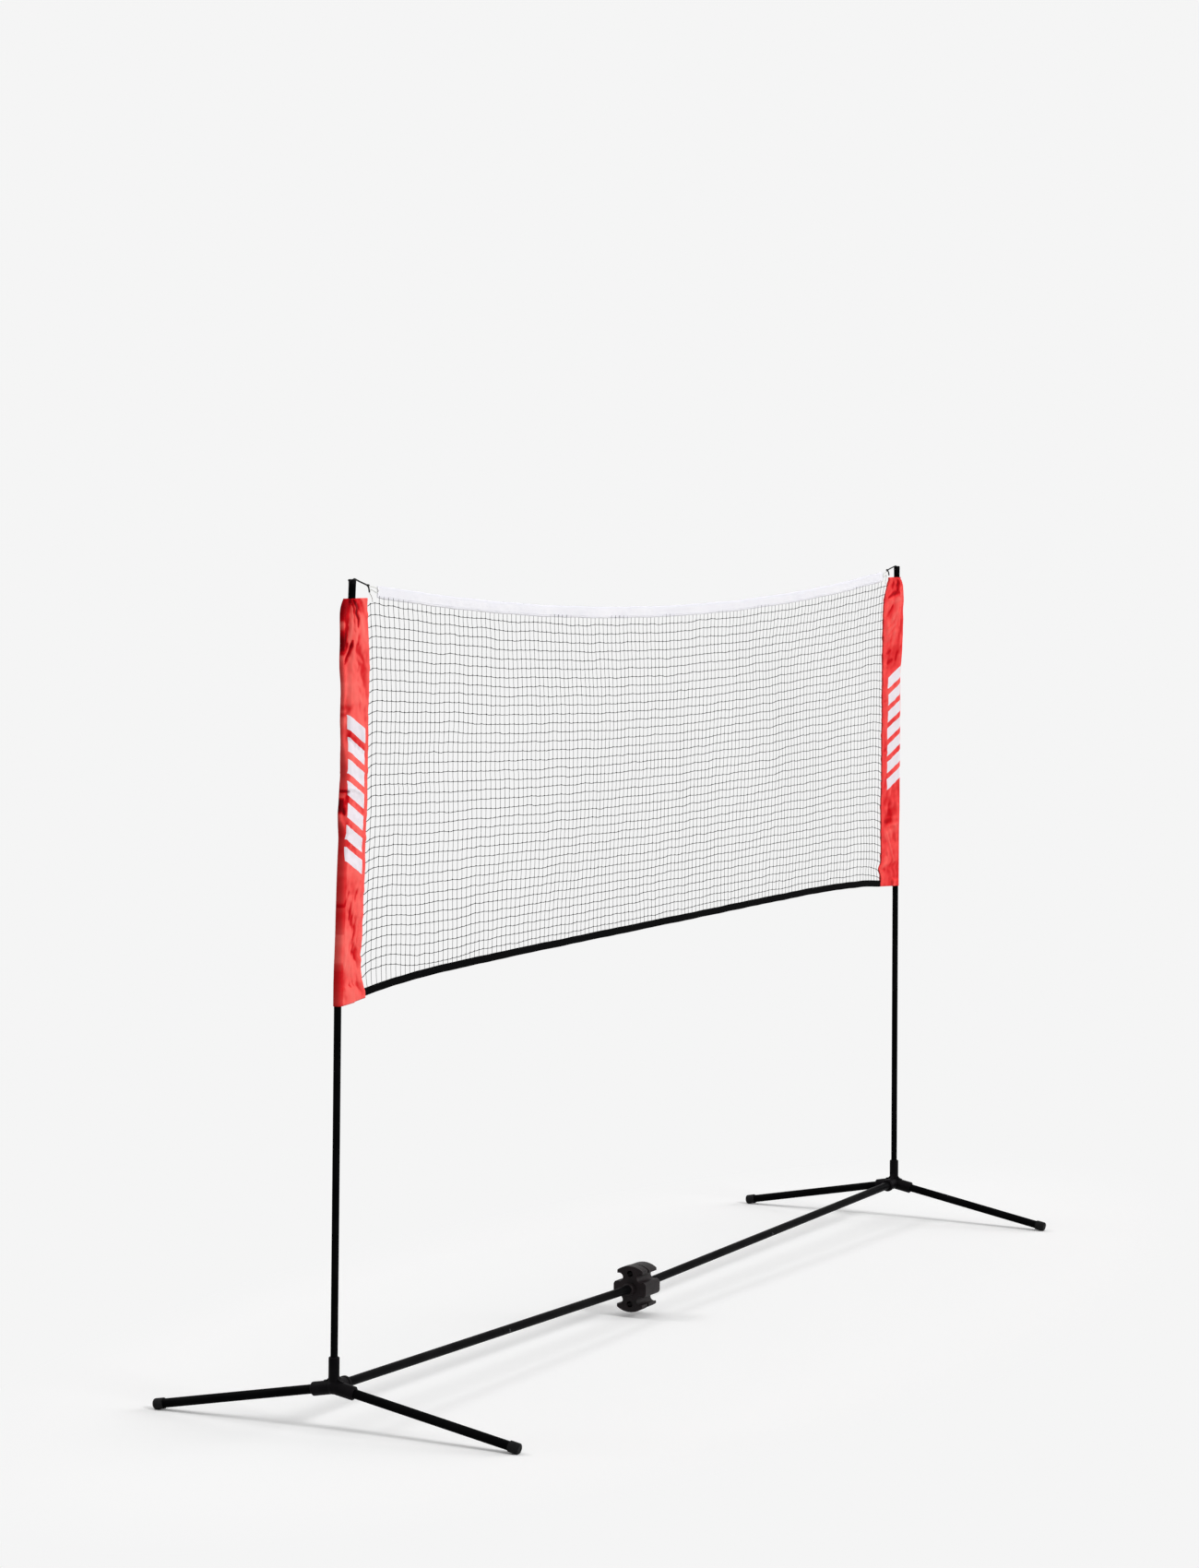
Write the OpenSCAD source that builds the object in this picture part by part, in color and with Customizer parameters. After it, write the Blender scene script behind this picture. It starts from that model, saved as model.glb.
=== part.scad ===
// Portable volleyball net on a free-standing tube frame.
// Two posts stand in moulded corner hubs at the ends of a sectional base bar.
// The net hangs between fabric sleeves that slip over the posts.
// +X runs along the base bar, +Z is up, and the origin is on the floor under the middle.

/* [Overall] */
// Distance between the centres of the two corner hubs
span = 2760; // [2600:10:2900]
// Height of the post tops
total_h = 1600; // [1560:5:1640]
// Height of the corner hubs' centres over the floor
hub_h = 84; // [80:1:90]
// Lean of the left and the right lower post section towards the net, in degrees
post_lean = [0.15, 1.95]; // [0:0.05:2.5]
// Lean of the upper sections, which the net pulls over
upper_lean = [3.15, 1.95]; // [0:0.05:3.5]

/* [Tubes] */
// Outer diameter of the bar and foot tubes
bar_od = 18; // [17:0.5:18.5]
// Outer diameter of the post tubes
post_od = 14; // [13:0.5:14]
// Wall of every tube
tube_wall = 1; // [0.8:0.1:1.2]
// Radial clearance of a tube in its socket
socket_gap = 0.05; // [0.03:0.01:0.1]
// Length of the necked spigot that joins two tubes
spigot_l = 55; // [45:1:60]

/* [Base] */
// Distance along the floor from a hub's centre to the end of a foot
foot_reach = 395; // [370:5:420]
// How far the middle of the bar sags below the hubs
bar_sag = 22; // [18:1:24]
// Offset of the clip hub from the middle of the bar
clip_hub_x = -72; // [-90:2:-50]

/* [Corner hub] */
// Outer diameter of the bar and foot sockets
socket_od = 27; // [26:0.5:29]
// Outer diameter of the post socket
post_socket_od = 21; // [20:0.5:23]
// Reach of the bar and foot sockets from the hub's centre
socket_l = 46; // [44:1:50]
// Reach of the post socket from the hub's centre
post_socket_l = 57; // [54:1:62]

/* [Clip hub] */
// Outer radius of the clip hub
clip_r = 50; // [48:1:53]
// Length of the clip hub along the bar
clip_l = 70; // [60:2:80]
// Radius of the pockets that hold a stored tube
pocket_r = 9.05; // [9:0.05:9.3]
// Width of the mouth through which a tube snaps in
mouth_w = 14.4; // [13:0.2:15.5]

/* [Net] */
// Distance of the mesh's left and right edge from the middle of the frame
net_half = [1278, 1253]; // [1240:1:1285]
// Height of the top of the sleeves
sleeve_top = 1564; // [1550:1:1568]
// Heights of the left and the right sleeve's hem at the post
sleeve_hem = [803, 820]; // [795:1:825]
// Height of the top tape's lower edge at its ends
net_top = 1563; // [1550:1:1566]
// How far the top tape hangs down in the middle
top_sag = 60; // [40:1:70]
// Height of the bottom tape's upper edge at the left and the right sleeve
net_bottom = [827, 840]; // [820:1:845]
// How far the bottom tape is drawn up between its ends
bottom_rise = 16.5; // [10:0.5:30]
// Number of net cells that are drawn along the net
mesh_columns = 27; // [9:1:27]
// Number of net cells that are drawn from top to bottom
mesh_rows = 9; // [4:1:11]

/* [Hidden] */
$fn = 64;
half_span = span / 2;
bar_r = bar_od / 2;
post_r = post_od / 2;
bore_r = bar_r + socket_gap;
post_bore_r = post_r + socket_gap;
stop_d = 14;                       // every tube stops this far from its hub's centre
post_joint = 765;                  // joint of the two post sections, inside the sleeve
cap_l = 9;                         // visible height of a post cap
end_cap_l = 22;
end_cap_wall = 2;
foot_end_h = 8.9;                  // height of a foot's axis at its very end
foot_tilt = atan((hub_h - foot_end_h) / foot_reach);
foot_len = foot_reach / cos(foot_tilt);
clip_z = hub_h - bar_sag;
web = 4;                           // half thickness of the stop inside the clip hub
boss_l = 12;
groove_l = 7;
groove_depth = 9;
button_r = 3;
button_travel = 3.2;
button_up = 2.4;                   // how far a snap button stands out of the tube
button_back = 26;                  // from the joint to the button

// Values for the left and the right half of the bar
halves = [half_span + clip_hub_x, half_span - clip_hub_x];
bar_joint = [671, 730];
function bar_slope(i) = atan(bar_sag / halves[i]);
function bar_len(i) = sqrt(pow(halves[i], 2) + pow(bar_sag, 2));

// Distance of a post's axis from the middle of the net at height z
function joint_x(i) = half_span - post_joint * sin(post_lean[i]);
function joint_z(i) = hub_h + post_joint * cos(post_lean[i]);
function upper_len(i) = (total_h - joint_z(i)) / cos(upper_lean[i]);
function post_x(z, i) =
  z < joint_z(i)
  ? half_span - (z - hub_h) * tan(post_lean[i])
  : joint_x(i) - (z - joint_z(i)) * tan(upper_lean[i]);
function mix(a, b, t) = a + (b - a) * t;
function ease(t) = t * t * (3 - 2 * t);

// ---- placing ----

// The left half is drawn at -X, and the right half is its mirror image
module half(i) {
  if (i == 0) children();
  else mirror([1, 0, 0]) children();
}

module at_hub() translate([-half_span, 0, hub_h]) children();

// +Z of the child runs from the hub along the bar, a foot or the post
module along_bar(i) at_hub() rotate([0, 90 + bar_slope(i), 0]) children();
module along_foot(dir) at_hub() rotate([-dir * (90 + foot_tilt), 0, 0]) children();
module along_post(i) at_hub() rotate([0, post_lean[i], 0]) children();
module along_upper(i)
  along_post(i)
    translate([0, 0, post_joint]) rotate([0, upper_lean[i] - post_lean[i], 0]) children();

// ---- building blocks ----

// Solid of revolution from z = 0 to l with a chamfered end
module barrel(r, l, chamfer) {
  rotate_extrude()
    polygon([[0, 0], [r, 0], [r, l - chamfer], [r - chamfer, l], [0, l]]);
}

// Tube from a to b along Z; a spigot with a tapered neck can follow at b
module tube(od, a, b, spigot = 0) {
  r = od / 2;
  neck = r - tube_wall - socket_gap;
  inner = neck - tube_wall;
  rotate_extrude()
    if (spigot > 0)
      polygon([
        [r - tube_wall, a], [r, a], [r, b], [neck, b + 1.2], [neck, b + spigot - 2],
        [neck - 0.7, b + spigot], [inner, b + spigot], [inner, b - 4], [r - tube_wall, b - 8]
      ]);
    else
      polygon([[r - tube_wall, a], [r, a], [r, b], [r - tube_wall, b]]);
}

// ---- corner hub ----

// Concave web between the post socket and a lower socket, drawn towards +X
module gusset(reach, rise, thick) {
  from_post = post_socket_od / 2 - 1;
  from_bar = socket_od / 2 - 2;
  rotate([90, 0, 0])
    linear_extrude(thick, center = true)
      polygon(concat(
        [[0, 0], [from_post + reach, 0]],
        [for (a = [0:15:90])
          [from_post + reach * (1 - sin(a)), from_bar + rise * (1 - cos(a))]],
        [[0, from_bar + rise]]
      ));
}

module corner_hub(i) {
  color("#232325")
    half(i)
      difference() {
        union() {
          at_hub() sphere(socket_od / 2 + 1);
          along_bar(i) barrel(socket_od / 2, socket_l, 1.5);
          along_bar(i) translate([0, 0, socket_l - 9]) barrel(socket_od / 2 + 1.2, 7, 1);
          for (dir = [-1, 1]) along_foot(dir) barrel(socket_od / 2, socket_l, 2);
          along_post(i) barrel(post_socket_od / 2, post_socket_l, 1.5);
          at_hub() gusset(17, 22, 9);
          at_hub() for (dir = [-1, 1]) rotate([0, 0, dir * 90]) gusset(11, 9, 6);
        }
        along_bar(i) translate([0, 0, stop_d]) cylinder(r = bore_r, h = socket_l);
        for (dir = [-1, 1])
          along_foot(dir) translate([0, 0, stop_d]) cylinder(r = bore_r, h = socket_l);
        along_post(i) translate([0, 0, stop_d]) cylinder(r = post_bore_r, h = post_socket_l);
      }
}

// ---- bar ----

module bar_outer(i) {
  color("#1b1b1d")
    half(i)
      along_bar(i)
        difference() {
          tube(bar_od, stop_d, bar_joint[i], spigot_l);
          translate([0, 0, bar_joint[i] + button_back])
            rotate([90, 0, 0]) cylinder(r = button_r + socket_gap, h = bar_od);
        }
}

module bar_inner(i) {
  color("#1b1b1d")
    half(i)
      along_bar(i)
        difference() {
          tube(bar_od, bar_joint[i] + 1.3, bar_len(i) - web);
          translate([0, 0, bar_joint[i] + button_back])
            rotate([90, 0, 0]) cylinder(r = button_r + socket_gap, h = bar_od);
        }
}

// Domed pin with a flange that holds it inside the spigot; it faces -Y
module snap_button(i) {
  top = bar_r + button_up;
  color("#c9ccd0")
    half(i)
      along_bar(i)
        translate([0, 0, bar_joint[i] + button_back])
          rotate([90, 0, 0])
            rotate_extrude()
              polygon(concat(
                [[0, 4.6], [3.6, 4.6], [3.6, 5.5], [button_r, 5.5]],
                [for (a = [0:15:90])
                  [button_r * cos(a), top - 1.6 + 1.6 * sin(a)]]
              ));
}

// V of spring strip inside the spigot, with one arm behind the button
module snap_spring(i) {
  color("#b9bcc0")
    half(i)
      along_bar(i)
        translate([3, 0, bar_joint[i] + button_back])
          rotate([0, -90, 0])
            linear_extrude(6)
              polygon([
                [4, -4.6], [-8, -4.6], [-30, -0.6], [-30, 0.6], [-8, 6.26], [4, 6.26],
                [4, 5.76], [-7.8, 5.76], [-29, 0], [-7.8, -4.1], [4, -4.1]
              ]);
}

// ---- clip hub ----

// Four tube pockets with snap-in mouths and two holes for post sections
module clip_profile(r) {
  pocket = [25.5, 24.3];
  lobe = [38.5, 16.5];
  lobe_round = 9;
  tip_round = 1.8;
  difference() {
    offset(r = tip_round) offset(delta = -tip_round)
      difference() {
        intersection() {
          circle(r);
          union() {
            square([60, 2 * r], center = true);
            offset(r = lobe_round) square(2 * (lobe - [lobe_round, lobe_round]), center = true);
          }
        }
        for (sx = [-1, 1], sy = [-1, 1]) {
          translate([sx * pocket[0], sy * pocket[1]]) circle(pocket_r - 0.4);
          translate([sx * (pocket[0] + 15), sy * pocket[1]]) square([30, mouth_w], center = true);
        }
      }
    for (sx = [-1, 1], sy = [-1, 1])
      translate([sx * pocket[0], sy * pocket[1]]) circle(pocket_r);
    for (sy = [-1, 1]) translate([0, sy * 33]) circle(post_r + 0.2);
  }
}

module clip_slice(from, to, r) {
  translate([from, 0, 0])
    rotate([90, 0, 90])
      linear_extrude(to - from)
        clip_profile(r);
}

module clip_hub() {
  front = -clip_l / 2;
  groove = front + 26;
  color("#29282a")
    difference() {
      translate([clip_hub_x, 0, clip_z]) {
        clip_slice(front, groove, clip_r);
        clip_slice(groove, groove + groove_l, clip_r - groove_depth);
        clip_slice(groove + groove_l, clip_l / 2, clip_r - 1);
        for (side = [-1, 1])
          rotate([0, side * 90, 0]) barrel(bar_r + 4, clip_l / 2 + boss_l, 1.5);
      }
      for (i = [0, 1])
        half(i)
          along_bar(i)
            translate([0, 0, bar_len(i) - clip_l]) cylinder(r = bore_r, h = clip_l - web);
    }
}

// ---- feet ----

module foot_tube(i, dir) {
  color("#1b1b1d")
    half(i)
      along_foot(dir)
        tube(bar_od, stop_d, foot_len - end_cap_wall);
}

// Rubber cup over the tube's end, with a flat where it stands on the floor
module foot_cap(i, dir) {
  r = bar_r + end_cap_wall;
  color("#161618")
    half(i)
      difference() {
        along_foot(dir)
          translate([0, 0, foot_len - end_cap_l])
            rotate_extrude()
              polygon(concat(
                [[bar_r, 0], [r - 0.6, 0], [r, 0.8]],
                [for (a = [0:15:90])
                  [r - 3.5 + 3.5 * cos(a), end_cap_l - 3.5 + 3.5 * sin(a)]],
                [[0, end_cap_l], [0, end_cap_l - end_cap_wall],
                 [bar_r, end_cap_l - end_cap_wall]]
              ));
        translate([-half_span - 20, -foot_reach - 20, -20])
          cube([40, 2 * foot_reach + 40, 20]);
      }
}

// ---- posts ----

// Spigot set into the lower section, in line with the upper one that slides over it
module post_spigot() {
  neck = post_r - tube_wall - socket_gap;
  inner = neck - tube_wall;
  rotate_extrude()
    polygon([
      [inner, -8], [post_r - 0.5, -8], [post_r - 0.5, -1], [post_r - 0.1, -1],
      [post_r - 0.1, 0], [neck, 1.2], [neck, spigot_l - 2], [neck - 0.7, spigot_l],
      [inner, spigot_l]
    ]);
}

module post_lower(i) {
  color("#1b1b1d")
    half(i) {
      along_post(i) tube(post_od, stop_d, post_joint);
      along_upper(i) post_spigot();
    }
}

module post_upper(i) {
  color("#1b1b1d")
    half(i) along_upper(i) tube(post_od, 1.3, upper_len(i) - cap_l);
}

// Plug with a domed head, slotted across so that the net's cord drops in from above
module post_cap(i) {
  plug_r = post_r - tube_wall - 0.02;
  head_r = post_r + 0.2;
  color("#161618")
    half(i)
      along_upper(i)
        difference() {
          translate([0, 0, upper_len(i) - cap_l])
            rotate_extrude()
              polygon(concat(
                [[0, -20], [plug_r - 0.8, -20], [plug_r, -19], [plug_r, 0], [head_r, 0]],
                [for (a = [0:15:90])
                  [head_r - 3 + 3 * cos(a), cap_l - 3 + 3 * sin(a)]],
                [[0, cap_l]]
              ));
          translate([0, 0, upper_len(i)]) cube([4 * post_r, 3.4, 11], center = true);
        }
}

// ---- sleeve ----

sleeve_out = 9.2;                  // half thickness of the sleeve over the post
sleeve_in = 7.6;                   // half thickness of its pocket
seam_half = 1.6;                   // half thickness of the flat seam at the net
sleeve_slack = [0, 12];            // spare cloth outside the post at the hem
hem_rise = 5;                      // the hem is this much higher at the net
sleeve_levels = 26;
fold_depth = 2.4;

// The sleeve hangs plumb, and its pocket clears the leaning post
function sleeve_x(i) = post_x(sleeve_hem[i], i) + sleeve_slack[i];
function pocket_x(i) = post_x(total_h, i) - 4;
function hem_z(x, i) = sleeve_hem[i] + hem_rise * (sleeve_x(i) - x) / 100;
function fold(x, z, i, side) =
  fold_depth * pow(max(0, sin(z * 1.35 + x * 4.1 * side + 40 * side)), 2)
  * ease(min(1, max(0, (x - net_half[i]) / 30)));

// Half outline of the pocket, round at both ends
function pocket_half(i) = concat(
  [for (a = [12:15.6:90]) [sleeve_x(i) + 0.2 + sleeve_in * cos(a), sleeve_in * sin(a)]],
  [for (k = [0:8])
    let (a = 90 + 78 * k / 8) [pocket_x(i) + sleeve_in * cos(a), sleeve_in * sin(a)]]
);

// Half outline of the cloth outside it, down to the flat seam
function cloth_half(i) = concat(
  [for (a = [12:15.6:90]) [sleeve_x(i) + sleeve_out * cos(a), sleeve_out * sin(a)]],
  [for (k = [0:8])
    let (t = k / 8) [mix(pocket_x(i), net_half[i], t), mix(sleeve_out, seam_half, ease(t))]]
);

// Outline of the sleeve at a share of its height, with the cloth's folds if asked
function ring(i, outline, share, folds) = concat(
  [for (p = outline)
    let (h = mix(hem_z(p[0], i), sleeve_top, share))
    [-p[0], p[1] + (folds ? fold(p[0], h, i, 1) : 0), h]],
  [for (k = [len(outline) - 1:-1:0])
    let (p = outline[k], h = mix(hem_z(p[0], i), sleeve_top, share))
    [-p[0], -p[1] - (folds ? fold(p[0], h, i, -1) : 0), h]]
);

module sleeve(i) {
  cloth = cloth_half(i);
  pocket = pocket_half(i);
  n = 2 * len(cloth);
  m = sleeve_levels;
  outer = [for (k = [0:m]) ring(i, cloth, k / m, true)];
  inner = [for (share = [0, 1]) ring(i, pocket, share, false)];
  low = (m + 1) * n;
  high = low + n;
  points = concat([for (r = outer) each r], inner[0], inner[1]);
  cloth_faces = [for (k = [0:m - 1], j = [0:n - 1])
    let (a = k * n + j, b = k * n + (j + 1) % n)
    each [[a, b, b + n], [a, b + n, a + n]]];
  pocket_faces = [for (j = [0:n - 1])
    let (a = low + j, b = low + (j + 1) % n)
    each [[a, b + n, b], [a, a + n, b + n]]];
  hem_faces = [for (j = [0:n - 1])
    let (a = j, b = (j + 1) % n)
    each [[a, low + b, b], [a, low + a, low + b]]];
  top_faces = [for (j = [0:n - 1])
    let (a = j, b = (j + 1) % n)
    each [[m * n + a, m * n + b, high + b], [m * n + a, high + b, high + a]]];
  color("#ee4a4e")
    half(i)
      polyhedron(points, concat(cloth_faces, pocket_faces, hem_faces, top_faces));
}

// ---- net ----

tape_half = 1240;                  // half length of the top tape
tape_h = 24;
webbing_h = 14;
mesh_bar = 2.5;                    // width of the drawn strands
mesh_t = 2;                        // thickness of the drawn strands

function top_edge(x) = net_top - top_sag * (1 - pow(x / tape_half, 2));
function bottom_edge(x) =
  let (flat = x / net_half[x < 0 ? 0 : 1])
  mix(net_bottom[0], net_bottom[1], (flat + 1) / 2)
  + bottom_rise * (1 - pow(min(1, abs(flat)), 7));
function mesh_x(c) = mix(-net_half[0], net_half[1], c / mesh_columns);
function mesh_z(x, r) = mix(bottom_edge(x), min(top_edge(x), net_top), r / mesh_rows);

module upright(thick) {
  rotate([90, 0, 0]) linear_extrude(thick, center = true) children();
}

// One opening of the net between two strands each way
module mesh_gap(c, r) {
  x0 = mesh_x(c);
  x1 = mesh_x(c + 1);
  s = mesh_bar / 2;
  polygon([
    [x0 + s, mesh_z(x0, r) + s], [x1 - s, mesh_z(x1, r) + s],
    [x1 - s, mesh_z(x1, r + 1) - s], [x0 + s, mesh_z(x0, r + 1) - s]
  ]);
}

module net_mesh() {
  color("#2c2c2e")
    upright(mesh_t)
      difference() {
        polygon(concat(
          [for (c = [0:mesh_columns]) [mesh_x(c), mesh_z(mesh_x(c), 0)]],
          [for (c = [mesh_columns:-1:0]) [mesh_x(c), mesh_z(mesh_x(c), mesh_rows)]]
        ));
        for (c = [0:mesh_columns - 1], r = [0:mesh_rows - 1]) mesh_gap(c, r);
      }
}

// White tape folded over the net's upper edge
module top_tape() {
  xs = concat(
    [-tape_half],
    [for (c = [1:mesh_columns - 1]) mesh_x(c)],
    [tape_half]
  );
  color("#f4f4f6")
    upright(5)
      polygon(concat(
        [for (x = xs) [x, tape_low(x)]],
        [for (k = [len(xs) - 1:-1:0]) [xs[k], tape_low(xs[k]) + tape_h]]
      ));
}

// The mesh's own upper edge, straight from strand to strand
function tape_low(x) =
  let (step = mesh_x(1) - mesh_x(0), c = floor((x - mesh_x(0)) / step + 0.0001))
  let (a = mesh_x(c), t = (x - a) / step)
  mix(mesh_z(a, mesh_rows), mesh_z(a + step, mesh_rows), t);

// Black webbing along the net's lower edge
module bottom_tape() {
  xs = [for (c = [0:mesh_columns]) mesh_x(c)];
  color("#1a1a1c")
    upright(3)
      polygon(concat(
        [for (x = xs) [x, bottom_edge(x) - webbing_h]],
        [for (k = [len(xs) - 1:-1:0]) [xs[k], bottom_edge(xs[k])]]
      ));
}

// ---- headline cord ----

cord_r = 1.5;
knot_r = 3.6;
// End of the cord: knot behind the post cap, slot, knot at the net, end of the tape
function cord_route(i) =
  let (cap_x = post_x(total_h, i), slot_z = total_h - 2.6)
  [
    [-cap_x - 11, slot_z], [-cap_x - 5.6, slot_z], [-cap_x + 8.4, slot_z],
    [-1296, 1592], [-1270, 1585.4], [-1254, 1580], [-1245, 1577], [-1240, 1577]
  ];

function cord_frame(route, k) =
  let (
    a = route[max(0, k - 1)],
    b = route[min(len(route) - 1, k + 1)],
    d = (b - a) / norm(b - a)
  ) [-d[1], d[0]];

module headline(i) {
  sides = 8;
  route = cord_route(i);
  last = len(route) - 1;
  points = [for (k = [0:last], s = [0:sides - 1])
    let (p = route[k], across = cord_frame(route, k), a = 360 * s / sides)
    [p[0] + across[0] * cord_r * sin(a), cord_r * cos(a), p[1] + across[1] * cord_r * sin(a)]];
  walls = [for (k = [0:last - 1], s = [0:sides - 1])
    let (a = k * sides + s, b = k * sides + (s + 1) % sides)
    each [[a, b + sides, b], [a, a + sides, b + sides]]];
  ends = [
    [for (s = [0:sides - 1]) s],
    [for (s = [sides - 1:-1:0]) last * sides + s]
  ];
  color("#1a1a1c")
    half(i) {
      polyhedron(points, concat(walls, ends));
      for (k = [0, 4])
        translate([route[k][0], 0, route[k][1]]) sphere(knot_r, $fn = 24);
    }
}

// ---- nodes ----

corner_hub(0);  // corner_hub_left
corner_hub(1);  // corner_hub_right
clip_hub();
bar_outer(0);  // bar_outer_left
bar_inner(0);  // bar_inner_left
bar_inner(1);  // bar_inner_right
bar_outer(1);  // bar_outer_right
snap_button(0);  // snap_button_left
snap_spring(0);  // snap_spring_left
snap_button(1);  // snap_button_right
snap_spring(1);  // snap_spring_right
foot_tube(0, -1);  // foot_near_left
foot_cap(0, -1);  // foot_cap_near_left
foot_tube(0, 1);  // foot_far_left
foot_cap(0, 1);  // foot_cap_far_left
foot_tube(1, -1);  // foot_near_right
foot_cap(1, -1);  // foot_cap_near_right
foot_tube(1, 1);  // foot_far_right
foot_cap(1, 1);  // foot_cap_far_right
post_lower(0);  // post_lower_left
post_upper(0);  // post_upper_left
post_cap(0);  // post_cap_left
post_lower(1);  // post_lower_right
post_upper(1);  // post_upper_right
post_cap(1);  // post_cap_right
sleeve(0);  // sleeve_left
sleeve(1);  // sleeve_right
net_mesh();
top_tape();
bottom_tape();
headline(0);  // headline_left
headline(1);  // headline_right
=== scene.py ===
import math

import bmesh
import bpy
import numpy as np
from mathutils import Matrix, Vector


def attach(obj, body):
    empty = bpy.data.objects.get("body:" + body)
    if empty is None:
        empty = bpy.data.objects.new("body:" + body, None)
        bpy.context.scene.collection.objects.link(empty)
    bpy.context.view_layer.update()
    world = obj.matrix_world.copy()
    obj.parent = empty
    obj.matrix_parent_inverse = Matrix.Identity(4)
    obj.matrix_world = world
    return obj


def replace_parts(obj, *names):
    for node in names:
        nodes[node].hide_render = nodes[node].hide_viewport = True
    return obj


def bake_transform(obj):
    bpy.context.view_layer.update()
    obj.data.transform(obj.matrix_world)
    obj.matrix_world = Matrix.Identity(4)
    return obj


# A portable net on a free-standing tube frame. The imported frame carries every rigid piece;
# the net, its tapes, the sleeves and the cords are dressed here. Metres, +X along the bar, +Z up.

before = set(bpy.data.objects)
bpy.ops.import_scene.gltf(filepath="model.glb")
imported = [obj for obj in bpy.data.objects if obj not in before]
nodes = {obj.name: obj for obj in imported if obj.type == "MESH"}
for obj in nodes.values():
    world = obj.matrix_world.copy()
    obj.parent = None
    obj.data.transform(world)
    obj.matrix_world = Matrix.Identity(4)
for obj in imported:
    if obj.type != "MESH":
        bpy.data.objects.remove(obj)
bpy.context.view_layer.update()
print("frame loaded:", len(nodes), "nodes")

mm = 0.001


def hexColor(text):
    # sRGB hex to the linear values that the shaders take
    parts = [int(text[i:i + 2], 16) / 255 for i in (1, 3, 5)]
    linear = [p / 12.92 if p <= 0.04045 else ((p + 0.055) / 1.055) ** 2.4 for p in parts]
    return (*linear, 1.0)


def linkObject(name, data):
    item = bpy.data.objects.new(name, data)
    bpy.context.scene.collection.objects.link(item)
    return item


def mix(a, b, t):
    return a + (b - a) * t


def ease(t):
    t = np.clip(t, 0, 1)
    return t * t * (3 - 2 * t)


def fade(distance, over, power=1):
    return np.exp(-(distance / over) ** power)


def bump(value, centre, width):
    return fade(value - centre, width, 2)


def ripple(u, v, seed, shortest, longest, count=16, lean=0.0, fan=math.pi / 2):
    # sum of plane waves between two wavelengths, about -1 to 1; lean is their main direction
    draw = np.random.default_rng(seed)
    total = 0
    for _ in range(count):
        length = shortest * (longest / shortest) ** draw.random()
        angle = lean + draw.uniform(-fan, fan)
        phase = draw.uniform(0, 2 * math.pi)
        along = u * math.cos(angle) + v * math.sin(angle)
        total = total + np.sin(along * 2 * math.pi / length + phase)
    return total / math.sqrt(count)


def waver(x, seed, shortest, longest, count=16):
    # ripple along a line
    return ripple(x, 0 * x, seed, shortest, longest, count)


def addNode(tree, kind, settings=None, links=None):
    # settings go to the node's own options or to its sockets, links to sockets
    node = tree.nodes.new("ShaderNode" + kind)
    for key, value in {**(settings or {}), **(links or {})}.items():
        if isinstance(value, bpy.types.NodeSocket):
            tree.links.new(value, node.inputs[key])
        elif isinstance(key, str) and hasattr(node, key):
            setattr(node, key, value)
        else:
            node.inputs[key].default_value = value
    return node


def calc(tree, operation, first, second=0.0):
    return addNode(tree, "Math", {"operation": operation, 0: first, 1: second}).outputs[0]


def spread(tree, value, low, high, fromLow=0.3, fromHigh=0.7):
    return addNode(tree, "MapRange", {
        "From Min": fromLow, "From Max": fromHigh, "To Min": low, "To Max": high}, {
        "Value": value}).outputs[0]


def blendColors(tree, share, first, second):
    first, second = (hexColor(c) if isinstance(c, str) else c for c in (first, second))
    return addNode(tree, "Mix", {"data_type": "RGBA", 0: share, 6: first, 7: second}).outputs[2]


def shades(tree, value, first, second, fromLow=0.3, fromHigh=0.7):
    # the first colour where the value is at fromLow, the second where it is at fromHigh
    return blendColors(tree, spread(tree, value, 0, 1, fromLow, fromHigh), first, second)


def objectPlace(tree):
    return addNode(tree, "TexCoord").outputs["Object"]


def clothPlace(tree):
    return addNode(tree, "UVMap", {"uv_map": "clothMetres"}).outputs[0]


def partOf(tree, vector, axis):
    return addNode(tree, "SeparateXYZ", links={"Vector": vector}).outputs[axis]


def grain(tree, place, size, detail=2.0, stretch=(1, 1, 1)):
    # noise whose lumps are about size metres across
    turned = addNode(tree, "Mapping", {"Scale": stretch}, {"Vector": place})
    return addNode(tree, "TexNoise", {"Scale": 1 / size, "Detail": detail}, {
        "Vector": turned.outputs[0]}).outputs["Fac"]


def waves(tree, place, direction, period, distortion=0.0, detail=2.0):
    # bands one period apart; a wave texture at scale 1 repeats every 1 / 3.2 metre
    return addNode(tree, "TexWave", {
        "bands_direction": direction, "Scale": 1 / period / 3.2, "Distortion": distortion,
        "Detail": detail}, {"Vector": place}).outputs["Fac"]


def relief(tree, height, strength, depth):
    return addNode(tree, "Bump", {"Strength": strength, "Distance": depth}, {
        "Height": height}).outputs[0]


def startMaterial(name):
    material = bpy.data.materials.new(name)
    material.use_nodes = True
    material.node_tree.nodes.clear()
    return material, material.node_tree


def endMaterial(material, shine, color, rough, normal, metal=0.0):
    tree = material.node_tree
    surface = addNode(tree, "BsdfPrincipled", {"Specular IOR Level": shine, "Metallic": metal}, {
        "Base Color": color, "Roughness": rough, "Normal": normal})
    addNode(tree, "OutputMaterial", links={"Surface": surface.outputs[0]})
    return material


camera = {
    "place": (-8.2464, -3.9294, 1.7618),
    "yaw": 63.731,  # degrees from +Y towards +X
    "pitch": -3.883,
    "roll": 0.743,
    "focalPixels": 4610.7,
    "frameHeight": 1700,
    "sensor": 36.0,
}


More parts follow.
